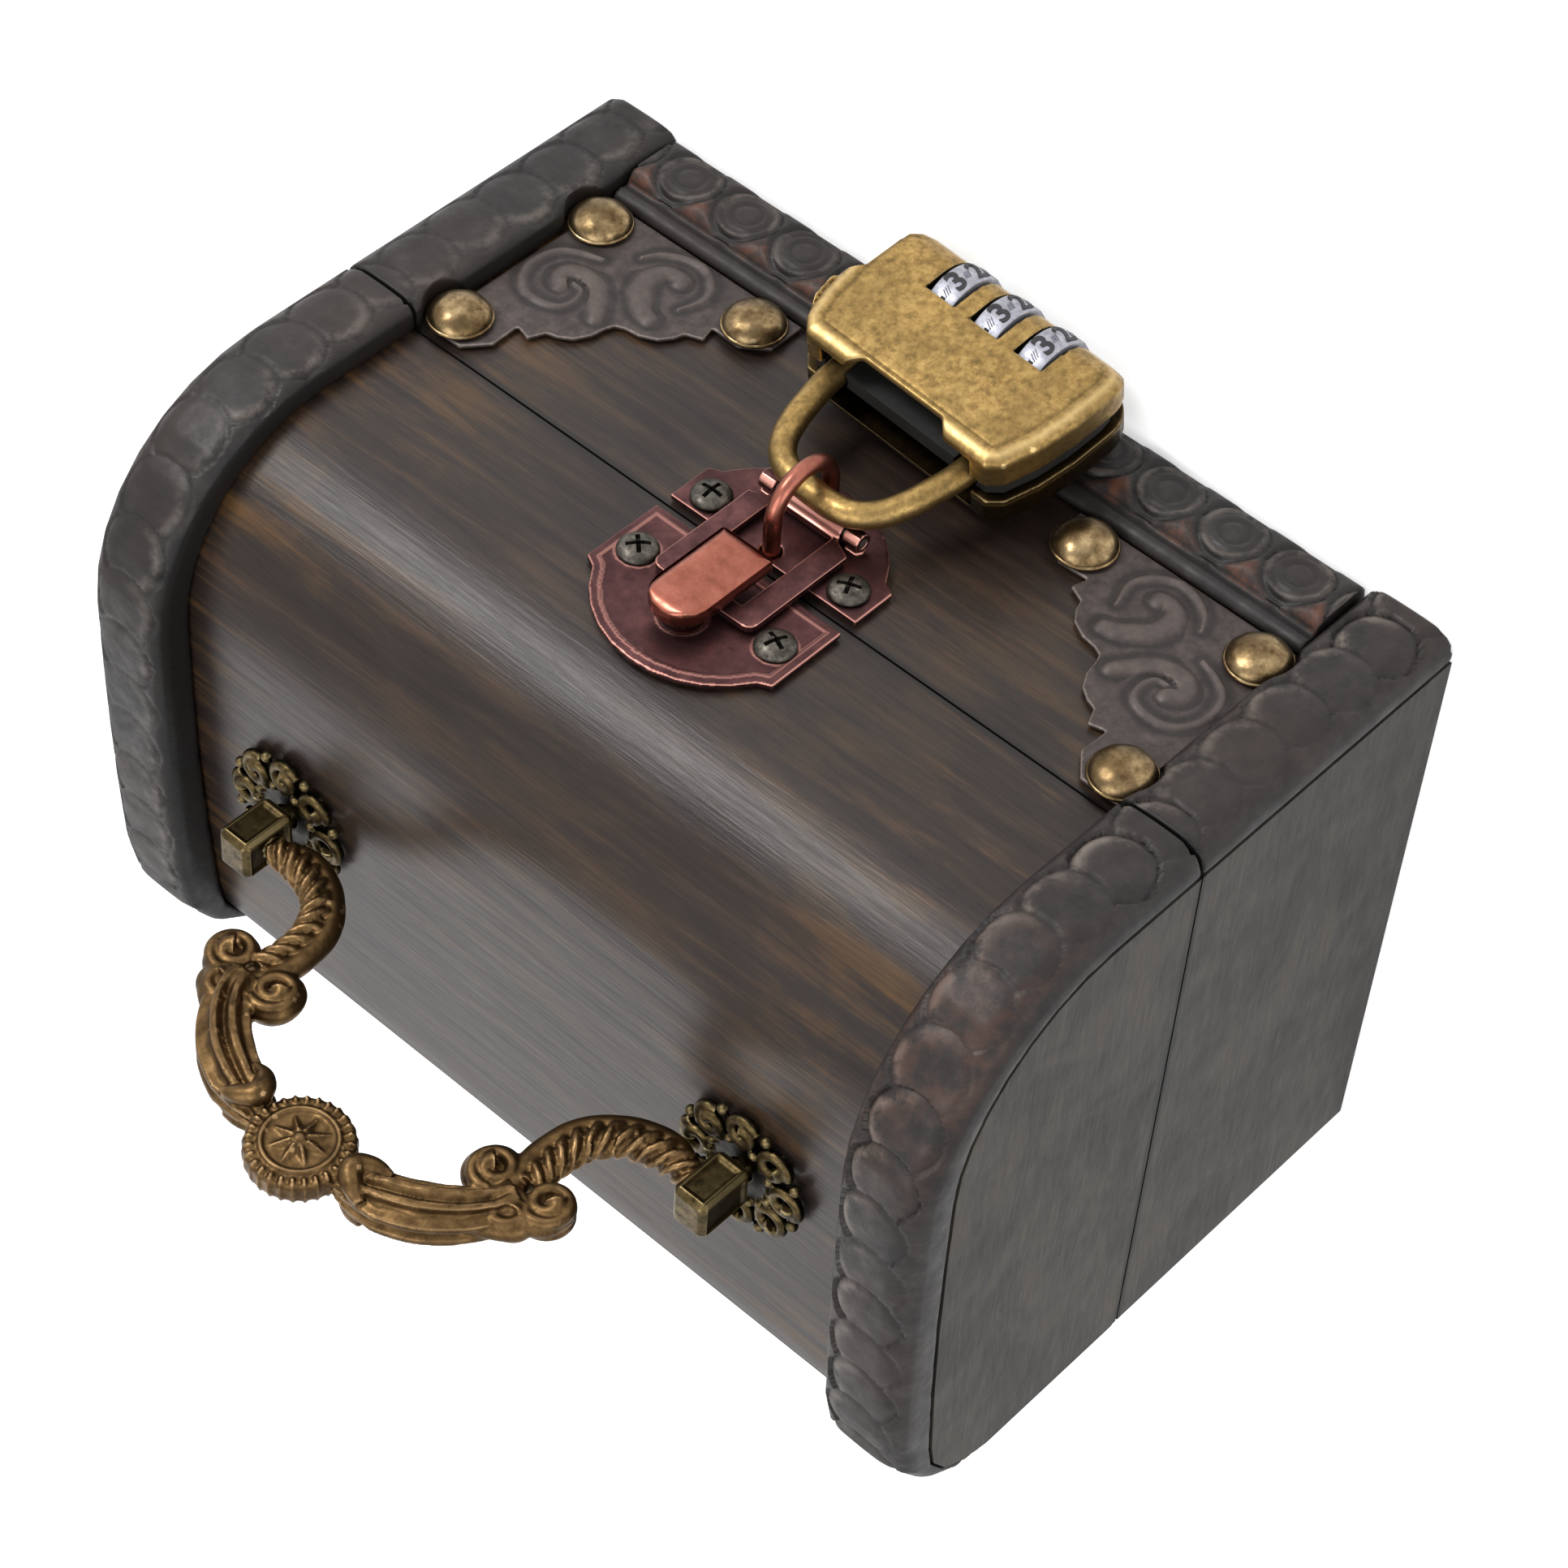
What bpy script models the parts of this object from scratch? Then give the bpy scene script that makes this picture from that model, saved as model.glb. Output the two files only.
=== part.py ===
# Wooden keepsake box with a bowed lid, a cast bail handle, a hasp and a small dial padlock.
# Units are metres. +Z is up, -Y is the front with the hasp, and +X is the right hand side.
# The origin is the middle of the base, on the surface the box stands on.
# At rest the lid is shut, the padlock hangs in its staple and the handle stands straight up.

import math

import bmesh
import bpy
from mathutils import Matrix, Vector

# Overall box
BOX_WIDTH = 0.130
BOX_DEPTH = 0.086
BODY_HEIGHT = 0.044
LID_RISE = 0.0367
LID_CROWN_DROP = 0.0022
CROWN_PEAK_Y = -0.009
FIT_GAP = 0.0003
OVERRUN = 0.002
MERGE_DISTANCE = 0.000001

# Boards
WALL = 0.004
END_WALL = 0.0045
BASE_WALL = 0.004
LID_WALL = 0.0035
PANEL_RECESS = 0.004
LID_FRONT_RADIUS = 0.022
LID_BACK_RADIUS = 0.011

# Rounded mouldings along the ends and the foot
MOULDING_WIDTH = 0.012
MOULDING_OUTER_ROUNDING = 0.0036
MOULDING_INNER_ROUNDING = 0.0022
CREST_FRONT_RADIUS = 0.027
CREST_BACK_RADIUS = 0.0175
CREST_TOP_RISE = 0.0059
CREST_BACK_RISE = 0.0010
BASE_MOULDING_HEIGHT = 0.0092
BEAD_HEIGHT = 0.0026
BEAD_RECESS = 0.0019

# Corner plates and their domed nails
PLATE_THICKNESS = 0.0006
PLATE_SEAM_MARGIN = 0.0009
PLATE_LOCK_MARGIN = 0.00365
NAIL_RADIUS = 0.0041
NAIL_HEIGHT = 0.0024
NAIL_SHANK_RADIUS = 0.0009
NAIL_SHANK_LENGTH = 0.0032
NAIL_INSET = 0.0024
NAIL_TIP_INSET = 0.0039
NAIL_TOP_INSET = 0.0033

# Hasp
HASP_X = -0.001
HASP_WIDTH = 0.028
HASP_PLATE_THICKNESS = 0.0008
HASP_SEAM_MARGIN = 0.0006
LID_PLATE_FOOT = 0.0017
LID_PLATE_SIDE = 0.0112
LID_PLATE_HEIGHT = 0.0192
BODY_PLATE_SIDE = 0.0062
BODY_PLATE_HEIGHT = 0.0145
PLATE_EAR = 0.0016
HASP_SCREW_INSET = 0.0036
LID_SCREW_RISE = 0.0068
BODY_SCREW_DROP = 0.0029
SCREW_HEAD_RADIUS = 0.0025
SCREW_HEAD_HEIGHT = 0.0011
SCREW_SHANK_RADIUS = 0.0011
SCREW_SHANK_LENGTH = 0.0034
CATCH_HOLE_RADIUS = 0.0017
CATCH_HOLE_RISE = 0.0106

# Strap that swings on the hasp's lower plate
STRAP_WIDTH = 0.015
STRAP_THICKNESS = 0.0009
STRAP_STAND_OFF = 0.0005
STRAP_RAIL = 0.0032
STRAP_TOP_RAIL = 0.0022
STRAP_LENGTH = 0.0187
STRAP_CORNER = 0.0012
STRAP_FOOT_RAIL = 0.0016
STRAP_PIVOT_DROP = 0.0085
KNUCKLE_RADIUS = 0.00125
KNUCKLE_SHARE = 0.66
STRAP_PIN_RADIUS = 0.0006
PIN_CLEARANCE = 0.0001

# Thumb tab on the strap, with the small catch behind its tip
TAB_WIDTH = 0.0076
TAB_LENGTH = 0.0145
TAB_THICKNESS = 0.0014
TAB_STAND_OFF = 0.0014
TAB_TIP_RISE = 0.0254
TAB_ROUNDING = 0.0004
CATCH_RADIUS = 0.0009

# Staple for the padlock
STAPLE_WIRE_RADIUS = 0.00105
STAPLE_RADIUS = 0.0048
STAPLE_REACH = 0.0094
STAPLE_TOP_DROP = 0.0015
STAPLE_ROOT = 0.0024

# Padlock, along its own length from the middle of the shackle's crown
PADLOCK_TILT = math.radians(10)
PADLOCK_LEAN = math.radians(3.5)
SHACKLE_RADIUS = 0.00165
SHACKLE_INSET = 0.00745
SHACKLE_REACH = 0.0128
SHACKLE_LEG_DEPTH = 0.0085
LOCK_WIDTH = 0.0355
LOCK_LENGTH = 0.0216
LOCK_THICKNESS = 0.0115
LOCK_CORE_THICKNESS = 0.0022
LOCK_CORE_INSET = 0.0009
LOCK_ROUNDING = 0.0013
LOCK_CORNER = 0.0046
LOCK_END_RADIUS = 0.0048
LOCK_NOTCH_INSET = 0.0024
LOCK_NOTCH_DEPTH = 0.0016
BORE_CLEARANCE = 0.0003
DIAL_RADIUS = 0.0054
DIAL_WIDTH = 0.0036
DIAL_PITCH = 0.0069
DIAL_SHIFT = 0.0008
DIAL_PROUD = 0.0005
DIAL_FORWARD = 0.0006
DIAL_AXLE_RADIUS = 0.0007
DIAL_AXLE_INSET = 0.00475
DIAL_COUNT = 3

# Bail handle on the lid
HANDLE_Y = 0.003
POST_INSET = 0.0162
POST_WIDTH = 0.005
POST_DEPTH = 0.006
POST_HEIGHT = 0.0079
POST_ROUNDING = 0.0007
PIVOT_RISE = 0.0036
ROSETTE_RADIUS = 0.0094
ROSETTE_THICKNESS = 0.0015
ROSETTE_LOBES = 9
ROSETTE_LOBE_SHARE = 0.08
STUD_RADIUS = 0.0014
NUT_RADIUS = 0.0029
NUT_THICKNESS = 0.0022
BAIL_RADIUS = 0.0024
BAIL_RISE = 0.0284
BAIL_PIN_RADIUS = 0.0012
BAIL_PIN_LENGTH = 0.0026
SCROLL_RADIUS = 0.0026
SCROLL_THICKNESS = 0.0052
MEDALLION_RADIUS = 0.0068
MEDALLION_THICKNESS = 0.0046
MEDALLION_DROP = 0.0006

# Back hinges
HINGE_INSET = 0.026
HINGE_WIDTH = 0.016
HINGE_LEAF_HEIGHT = 0.0085
HINGE_LEAF_THICKNESS = 0.0008
HINGE_KNUCKLE_RADIUS = 0.0015
HINGE_PIN_RADIUS = 0.0006
HINGE_AXIS_OFFSET = 0.0022
HINGE_SCREW_RADIUS = 0.0015
HINGE_SCREW_HEIGHT = 0.0006
HINGE_SHANK_RADIUS = 0.0007
HINGE_SHANK_LENGTH = 0.0031

# Counts of faces round curved work
ARC_STEPS = 8
SMALL_ROUND = 12
ROUND = 20
NUT_SIDES = 6

# Half of the corner plate's long edge, from its tip to its middle: shares of the plate's run and rise
PLATE_EDGE_SHARES = [
    (1.0, 0.0), (1.0, 0.17), (0.9, 0.25), (0.765, 0.245), (0.785, 0.315), (0.715, 0.345), (0.7, 0.39),
    (0.665, 0.44), (0.6, 0.475), (0.535, 0.485), (0.5, 0.5)]

# Sides of the padlock from the shackle's end: share of the half width, share of the length.
# The front shell steps in behind a shoulder on its right hand side.
LOCK_SIDE_SHARES = [(0.8, 0.0), (0.89, 0.07), (0.96, 0.27), (0.995, 0.5), (1.0, 0.7)]
LOCK_STEPPED_SHARES = [(0.78, 0.0), (0.87, 0.08), (0.97, 0.22), (1.0, 0.36), (0.97, 0.46), (0.89, 0.53),
                       (0.88, 0.72)]

# Half of the shackle above the lock: share of the half width, share of the reach
SHACKLE_SHARES = [(1.0, 0.0), (0.94, 0.3), (0.86, 0.56), (0.72, 0.8), (0.52, 0.94), (0.3, 1.0)]

# Half of the bail from the post to the middle:
# share of half the span, share of the rise, share of the bar's radius
BAIL_SHARES = [
    (1.0, 0.0, 0.9), (0.9, 0.0, 1.0), (0.8, 0.025, 1.0), (0.71, 0.085, 1.0), (0.655, 0.18, 1.0),
    (0.635, 0.28, 0.95), (0.635, 0.39, 0.9), (0.65, 0.49, 0.9), (0.65, 0.57, 1.0), (0.625, 0.66, 1.15),
    (0.56, 0.765, 1.3), (0.46, 0.865, 1.35), (0.35, 0.93, 1.25), (0.21, 0.975, 1.05), (0.0, 0.99, 0.95)]

# Scroll bosses of the bail: the bar's point that carries each one, then its place out from there,
# its place up from there and its own radius as shares of the boss radius
SCROLL_SHARES = [(7, 1.23, 0.22, 1.0), (9, 0.58, -0.22, 1.05), (7, -1.62, 0.44, 1.05)]

# Worked out places
HALF_WIDTH = BOX_WIDTH / 2
FRONT_Y = -BOX_DEPTH / 2
BACK_Y = BOX_DEPTH / 2
PANEL_Y = FRONT_Y + PANEL_RECESS
BOARD_HALF = HALF_WIDTH - END_WALL - FIT_GAP
PANEL_HALF = HALF_WIDTH - MOULDING_WIDTH - FIT_GAP
LID_FLOOR = BODY_HEIGHT + FIT_GAP
LID_BOARD_HEIGHT = LID_FLOOR + LID_RISE
LID_CREST_HEIGHT = LID_BOARD_HEIGHT + CREST_TOP_RISE
PLATE_BACK_Y = PANEL_Y - FIT_GAP
PLATE_EDGE_X = PANEL_HALF - FIT_GAP
PLATE_TIP_X = LOCK_WIDTH / 2 + PLATE_LOCK_MARGIN
PLATE_FOOT_Z = BASE_MOULDING_HEIGHT + BEAD_HEIGHT + FIT_GAP
PLATE_TOP_Z = BODY_HEIGHT - PLATE_SEAM_MARGIN
PLATE_RUN = PLATE_EDGE_X - PLATE_TIP_X
PLATE_RISE = PLATE_TOP_Z - PLATE_FOOT_Z
HASP_FACE_Y = PLATE_BACK_Y - HASP_PLATE_THICKNESS
STRAP_BACK_Y = HASP_FACE_Y - STRAP_STAND_OFF
STRAP_FRONT_Y = STRAP_BACK_Y - STRAP_THICKNESS
BODY_PLATE_TOP = BODY_HEIGHT - HASP_SEAM_MARGIN
LID_PLATE_BASE = BODY_HEIGHT + LID_PLATE_FOOT
STRAP_PIVOT_Y = HASP_FACE_Y - FIT_GAP - KNUCKLE_RADIUS
STRAP_PIVOT_Z = BODY_PLATE_TOP - STRAP_PIVOT_DROP
STAPLE_TOP_Z = BODY_PLATE_TOP - STAPLE_TOP_DROP
STAPLE_MID_Z = STAPLE_TOP_Z - STAPLE_RADIUS
STAPLE_BEND_Y = HASP_FACE_Y - STAPLE_REACH + STAPLE_RADIUS
CROWN_Y = STAPLE_BEND_Y
CROWN_Z = STAPLE_MID_Z - STAPLE_RADIUS + STAPLE_WIRE_RADIUS + SHACKLE_RADIUS + FIT_GAP
SHACKLE_HALF_WIDTH = LOCK_WIDTH / 2 - SHACKLE_INSET
DIAL_AXLE_LENGTH = LOCK_WIDTH - 2 * DIAL_AXLE_INSET
HINGE_X = HALF_WIDTH - HINGE_INSET
HINGE_Y = BACK_Y + HINGE_AXIS_OFFSET
HINGE_Z = BODY_HEIGHT + FIT_GAP / 2
POST_X = PANEL_HALF - POST_INSET
ROSETTE_BASE_Z = LID_BOARD_HEIGHT + FIT_GAP
POST_BASE_Z = ROSETTE_BASE_Z + ROSETTE_THICKNESS + FIT_GAP
BAIL_AXIS_Z = POST_BASE_Z + PIVOT_RISE
BAIL_HALF_SPAN = POST_X - POST_WIDTH / 2 - FIT_GAP
MEDALLION_RISE = BAIL_RISE - MEDALLION_DROP

# Frames for flat outlines: the outline's own X, Y and Z axes as world directions
FACING_FRONT = Matrix(((1, 0, 0), (0, 0, -1), (0, 1, 0))).to_4x4()
FACING_SIDE = Matrix(((0, 0, 1), (1, 0, 0), (0, 1, 0))).to_4x4()
FACING_UP = Matrix.Identity(4)


def clear_scene():
    for old in list(bpy.data.objects):
        bpy.data.objects.remove(old, do_unlink=True)


def new_collection(name):
    collection = bpy.data.collections.new(name)
    bpy.context.scene.collection.children.link(collection)
    return collection


def new_material(name, colour, roughness, metallic):
    material = bpy.data.materials.new(name)
    material.use_nodes = True
    shader = material.node_tree.nodes["Principled BSDF"]
    shader.inputs["Base Color"].default_value = (*colour, 1)
    shader.inputs["Roughness"].default_value = roughness
    shader.inputs["Metallic"].default_value = metallic
    material.diffuse_color = (*colour, 1)
    return material


def mesh_object(name, bm, material, collection):
    bmesh.ops.recalc_face_normals(bm, faces=bm.faces)
    mesh = bpy.data.meshes.new(name)
    bm.to_mesh(mesh)
    bm.free()
    obj = bpy.data.objects.new(name, mesh)
    if material:
        mesh.materials.append(material)
    collection.objects.link(obj)
    return obj


def add_empty(name, location, turn=None, parent=None):
    empty = bpy.data.objects.new(name, None)
    empty.matrix_world = Matrix.Translation(location) @ (turn or Matrix.Identity(4))
    parts.objects.link(empty)
    bpy.context.view_layer.update()
    if parent:
        hang(empty, parent)
    return empty


def hang(obj, parent):
    # Keeps the object where it stands and lets it follow its joint's empty.
    bpy.context.view_layer.update()
    obj.parent = parent
    obj.matrix_parent_inverse = parent.matrix_world.inverted()


def seat(obj, parent):
    # The object's own coordinates are already those of the parent.
    obj.parent = parent


def box_into(bm, low, high):
    made = bmesh.ops.create_cube(bm, size=1)
    size = Vector(high) - Vector(low)
    middle = (Vector(high) + Vector(low)) / 2
    bmesh.ops.scale(bm, vec=size, verts=made["verts"])
    bmesh.ops.translate(bm, vec=middle, verts=made["verts"])
    return made["verts"]


def rod_into(bm, start, end, radius, segments=SMALL_ROUND, end_radius=None):
    start = Vector(start)
    run = Vector(end) - start
    turn = Vector((0, 0, 1)).rotation_difference(run).to_matrix().to_4x4()
    place = Matrix.Translation(start + run / 2) @ turn
    far_radius = radius if end_radius is None else end_radius
    made = bmesh.ops.create_cone(bm, cap_ends=True, segments=segments, radius1=radius,
                                 radius2=far_radius, depth=run.length, matrix=place)
    return made["verts"]


def turned(name, profile, place, material, segments=SMALL_ROUND, closed=False, collection=None):
    # A profile of (radius, height) pairs, from the top down its outer side, turned about local Z.
    mesh = bpy.data.meshes.new(name)
    edges = [(index, index + 1) for index in range(len(profile) - 1)]
    if closed:
        edges.append((len(profile) - 1, 0))
    mesh.from_pydata([(radius, 0, height) for radius, height in profile], edges, [])
    if material:
        mesh.materials.append(material)
    obj = bpy.data.objects.new(name, mesh)
    obj.matrix_world = place
    (collection or parts).objects.link(obj)
    screw = obj.modifiers.new("turning", "SCREW")
    screw.axis = "Z"
    screw.steps = segments
    screw.render_steps = segments
    screw.use_merge_vertices = True
    screw.merge_threshold = MERGE_DISTANCE
    screw.use_smooth_shade = True
    return obj


def box_object(name, low, high, material, collection=None):
    bm = bmesh.new()
    box_into(bm, low, high)
    return mesh_object(name, bm, material, collection or parts)


def rod_object(name, start, end, radius, material, collection=None, segments=SMALL_ROUND):
    bm = bmesh.new()
    rod_into(bm, start, end, radius, segments)
    return mesh_object(name, bm, material, collection or parts)


def curve_to_mesh(name, curve_object, material, collection):
    # Takes the evaluated curve as a welded mesh and removes the curve.
    bpy.context.view_layer.update()
    graph = bpy.context.evaluated_depsgraph_get()
    mesh = bpy.data.meshes.new_from_object(curve_object.evaluated_get(graph))
    mesh.name = name
    matrix = curve_object.matrix_world.copy()
    bpy.data.objects.remove(curve_object, do_unlink=True)
    bm = bmesh.new()
    bm.from_mesh(mesh)
    bmesh.ops.remove_doubles(bm, verts=bm.verts, dist=MERGE_DISTANCE)
    bmesh.ops.recalc_face_normals(bm, faces=bm.faces)
    bm.to_mesh(mesh)
    bm.free()
    mesh.materials.clear()
    if material:
        mesh.materials.append(material)
    obj = bpy.data.objects.new(name, mesh)
    obj.matrix_world = matrix
    collection.objects.link(obj)
    return obj


def sheet(name, outlines, thickness, facing, middle, material, collection=None):
    # A flat outline, with any holes, thickened equally to both sides of its middle plane.
    curve = bpy.data.curves.new(name, "CURVE")
    curve.dimensions = "2D"
    curve.fill_mode = "BOTH"
    curve.extrude = thickness / 2
    for outline in outlines:
        spline = curve.splines.new("POLY")
        spline.points.add(len(outline) - 1)
        for point, (across, up) in zip(spline.points, outline):
            point.co = (across, up, 0, 1)
        spline.use_cyclic_u = True
    flat = bpy.data.objects.new(name + "_outline", curve)
    flat.matrix_world = Matrix.Translation(middle) @ facing
    parts.objects.link(flat)
    return curve_to_mesh(name, flat, material, collection or parts)


def tube(name, points, radius, shares, material, resolution=2, collection=None):
    curve = bpy.data.curves.new(name, "CURVE")
    curve.dimensions = "3D"
    curve.bevel_depth = radius
    curve.bevel_resolution = resolution
    curve.use_fill_caps = True
    spline = curve.splines.new("POLY")
    spline.points.add(len(points) - 1)
    for spot, place, share in zip(spline.points, points, shares):
        spot.co = (*place, 1)
        spot.radius = share
    route = bpy.data.objects.new(name + "_route", curve)
    parts.objects.link(route)
    return curve_to_mesh(name, route, material, collection or parts)


def arc(centre, radius, start, end, steps=ARC_STEPS):
    points = []
    for step in range(steps + 1):
        angle = math.radians(start + (end - start) * step / steps)
        points.append((centre[0] + radius * math.cos(angle), centre[1] + radius * math.sin(angle)))
    return points


def circle(centre, radius, steps=SMALL_ROUND):
    return arc(centre, radius, 0, 360, steps)[:-1]


def round_edges(obj, width, segments, angle=40):
    bevel = obj.modifiers.new("rounding", "BEVEL")
    bevel.width = width
    bevel.segments = segments
    bevel.limit_method = "ANGLE"
    bevel.angle_limit = math.radians(angle)


def as_cutter(obj):
    obj.hide_render = True
    obj.display_type = "WIRE"
    return obj


def cut(obj, cutter, name="cut", crossing=False):
    # crossing says that the shapes in the cutter cross one another.
    boolean = obj.modifiers.new(name, "BOOLEAN")
    boolean.operation = "DIFFERENCE"
    boolean.solver = "EXACT"
    boolean.use_self = crossing
    boolean.object = as_cutter(cutter)


def fuse(obj, other, name="fuse", crossing=False):
    # crossing says that the added shapes also cross one another.
    boolean = obj.modifiers.new(name, "BOOLEAN")
    boolean.operation = "UNION"
    boolean.solver = "EXACT"
    boolean.use_self = crossing
    boolean.object = as_cutter(other)


def keep(obj, envelope, name):
    # Keeps only what lies inside the envelope.
    boolean = obj.modifiers.new(name, "BOOLEAN")
    boolean.operation = "INTERSECT"
    boolean.solver = "EXACT"
    boolean.object = as_cutter(envelope)


def shade(obj, angle=35):
    obj.data.shade_smooth()
    obj.data.set_sharp_from_angle(angle=math.radians(angle))


def crown_height(y, peak):
    return peak - LID_CROWN_DROP * ((y - CROWN_PEAK_Y) / BACK_Y) ** 2


def lid_outline(front, back, peak, front_radius, back_radius):
    # From the seam at the front, over the bow of the lid, to the seam at the back.
    front_centre = (front + front_radius, peak - front_radius)
    back_start = back - back_radius
    back_top = crown_height(back_start, peak)
    points = [(front, LID_FLOOR)]
    points += arc(front_centre, front_radius, 180, 90)
    crown_start = front_centre[0]
    crown_steps = ARC_STEPS // 2
    for step in range(1, crown_steps):
        y = crown_start + (back_start - crown_start) * step / crown_steps
        points.append((y, crown_height(y, peak)))
    points += arc((back_start, back_top - back_radius), back_radius, 90, 0, ARC_STEPS // 2)
    points.append((back, LID_FLOOR))
    return points


def board_outline(inset=0.0):
    return lid_outline(PANEL_Y + inset, BACK_Y - inset, LID_BOARD_HEIGHT - inset,
                       LID_FRONT_RADIUS - inset, LID_BACK_RADIUS - inset)


def crest_outline():
    return lid_outline(FRONT_Y, BACK_Y + CREST_BACK_RISE, LID_CREST_HEIGHT,
                       CREST_FRONT_RADIUS, CREST_BACK_RADIUS)


def moulding(name, side, crest, foot, material):
    # A rounded band lofted along the crest, because its height over the boards changes as it goes.
    outer = side * HALF_WIDTH
    inner = side * (HALF_WIDTH - MOULDING_WIDTH)
    bm = bmesh.new()
    rings = []
    for (crest_y, crest_z), (foot_y, foot_z) in zip(crest, foot):
        base = Vector((0, foot_y, foot_z))
        rise = Vector((0, crest_y, crest_z)) - base
        height = rise.length
        near = min(MOULDING_INNER_ROUNDING, height * 0.6)
        far = min(MOULDING_OUTER_ROUNDING, height * 0.9)
        section = [(inner, 0)]
        section += [(inner + side * (near + x), height - near + up) for x, up in arc((0, 0), near, 180, 90, 3)]
        section += [(outer - side * (far - x), height - far + up) for x, up in arc((0, 0), far, 90, 0, 4)]
        section.append((outer, 0))
        rings.append([bm.verts.new(base + rise * (up / height) + Vector((x, 0, 0))) for x, up in section])
    for ring, following in zip(rings, rings[1:]):
        for here, there in zip(zip(ring, ring[1:] + ring[:1]), zip(following, following[1:] + following[:1])):
            bm.faces.new((here[0], here[1], there[1], there[0]))
    bm.faces.new(rings[0])
    bm.faces.new(rings[-1])
    strip = mesh_object(name, bm, material, parts)
    shade(strip)
    return strip


def make_body(wood, dark_wood):
    box_object("bottom_board", (-BOARD_HALF, PANEL_Y + WALL + FIT_GAP, 0),
               (BOARD_HALF, BACK_Y - WALL - FIT_GAP, BASE_WALL), wood)
    front = box_object("front_board", (-BOARD_HALF, PANEL_Y, 0),
                       (BOARD_HALF, PANEL_Y + WALL, BODY_HEIGHT), wood)
    back = box_object("back_board", (-BOARD_HALF, BACK_Y - WALL, 0),
                      (BOARD_HALF, BACK_Y, BODY_HEIGHT), wood)
    for side, word in ((-1, "left"), (1, "right")):
        near, far = sorted((side * (HALF_WIDTH - END_WALL), side * HALF_WIDTH))
        box_object("end_board_" + word, (near, PANEL_Y, 0), (far, BACK_Y, BODY_HEIGHT), wood)
        crest = [(FRONT_Y, 0), (FRONT_Y, BODY_HEIGHT)]
        foot = [(PLATE_BACK_Y, 0), (PLATE_BACK_Y, BODY_HEIGHT)]
        strip = moulding("body_moulding_" + word, side, crest, foot, dark_wood)
        # The nails' heads are let into the moulding's inner edge.
        seats = bmesh.new()
        for x, z in nail_places(side):
            rod_into(seats, (x, FRONT_Y - OVERRUN, z), (x, PANEL_Y, z), NAIL_RADIUS + FIT_GAP, ROUND)
        cut(strip, mesh_object("nail_seats_" + word, seats, None, cutters), "nail seats")
    return front, back


def make_base_moulding(dark_wood):
    bead_y = FRONT_Y + BEAD_RECESS
    rounding = MOULDING_INNER_ROUNDING
    top = BASE_MOULDING_HEIGHT
    outline = [(PLATE_BACK_Y, 0)]
    outline += arc((FRONT_Y + rounding, rounding), rounding, 270, 180, 3)
    outline += arc((FRONT_Y + rounding, top - rounding), rounding, 180, 90, 3)
    outline += arc((bead_y + BEAD_HEIGHT / 2, top + BEAD_HEIGHT / 2), BEAD_HEIGHT / 2, 240, 90, 5)
    outline.append((PLATE_BACK_Y, top + BEAD_HEIGHT))
    strip = sheet("base_moulding", [outline], 2 * PANEL_HALF, FACING_SIDE, (0, 0, 0), dark_wood)
    shade(strip)


def make_lid(wood, dark_wood, lid_axis):
    outer = board_outline()
    inner = board_outline(LID_WALL)
    board = sheet("lid_board", [outer + inner[::-1]], 2 * BOARD_HALF, FACING_SIDE, (0, 0, 0), wood)
    shade(board)
    hang(board, lid_axis)
    for side, word in ((-1, "left"), (1, "right")):
        middle = (side * (HALF_WIDTH - END_WALL / 2), 0, 0)
        end = sheet("lid_end_" + word, [outer], END_WALL, FACING_SIDE, middle, wood)
        hang(end, lid_axis)
        strip = moulding("lid_moulding_" + word, side, crest_outline(), board_outline(-FIT_GAP), dark_wood)
        hang(strip, lid_axis)
    return board


def nail_places(side):
    edge = PANEL_HALF - NAIL_INSET
    foot = PLATE_FOOT_Z + NAIL_RADIUS
    return [(side * edge, foot), (side * edge, PLATE_TOP_Z - NAIL_TOP_INSET),
            (side * (PLATE_TIP_X + NAIL_TIP_INSET), foot)]


def corner_plate_outline(side):
    # Two straight edges against the mouldings and a scalloped long edge, alike from both ends.
    upper = [(short, long) for long, short in PLATE_EDGE_SHARES]
    shares = [(0.0, 0.0)] + upper + PLATE_EDGE_SHARES[-2::-1]
    points = [(PLATE_EDGE_X - PLATE_RUN * across, PLATE_FOOT_Z + PLATE_RISE * up) for across, up in shares]
    if side > 0:
        return points
    return [(-across, up) for across, up in reversed(points)]


def make_corner_plates(bronze, brass, front):
    drill = bmesh.new()
    seat_y = PLATE_BACK_Y - PLATE_THICKNESS - FIT_GAP
    tip = -PLATE_THICKNESS - FIT_GAP - NAIL_SHANK_LENGTH
    dome = [(NAIL_RADIUS * math.sin(math.radians(turn)), NAIL_HEIGHT * math.cos(math.radians(turn)))
            for turn in (0, 24, 46, 68, 90)]
    profile = dome + [(NAIL_SHANK_RADIUS, 0), (NAIL_SHANK_RADIUS, tip), (0, tip)]
    count = 0
    for side, word in ((-1, "left"), (1, "right")):
        holes = [circle(place, NAIL_SHANK_RADIUS + FIT_GAP) for place in nail_places(side)]
        middle = (0, PLATE_BACK_Y - PLATE_THICKNESS / 2, 0)
        sheet("corner_plate_" + word, [corner_plate_outline(side)] + holes, PLATE_THICKNESS,
              FACING_FRONT, middle, bronze)
        for x, z in nail_places(side):
            count += 1
            place = Matrix.Translation((x, seat_y, z)) @ FACING_FRONT
            turned("corner_nail_%d" % count, profile, place, brass)
            rod_into(drill, (x, PANEL_Y - OVERRUN, z),
                     (x, PANEL_Y + NAIL_SHANK_LENGTH + FIT_GAP, z), NAIL_SHANK_RADIUS + FIT_GAP)
    cut(front, mesh_object("nail_drill", drill, None, cutters), "nail holes")


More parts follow.
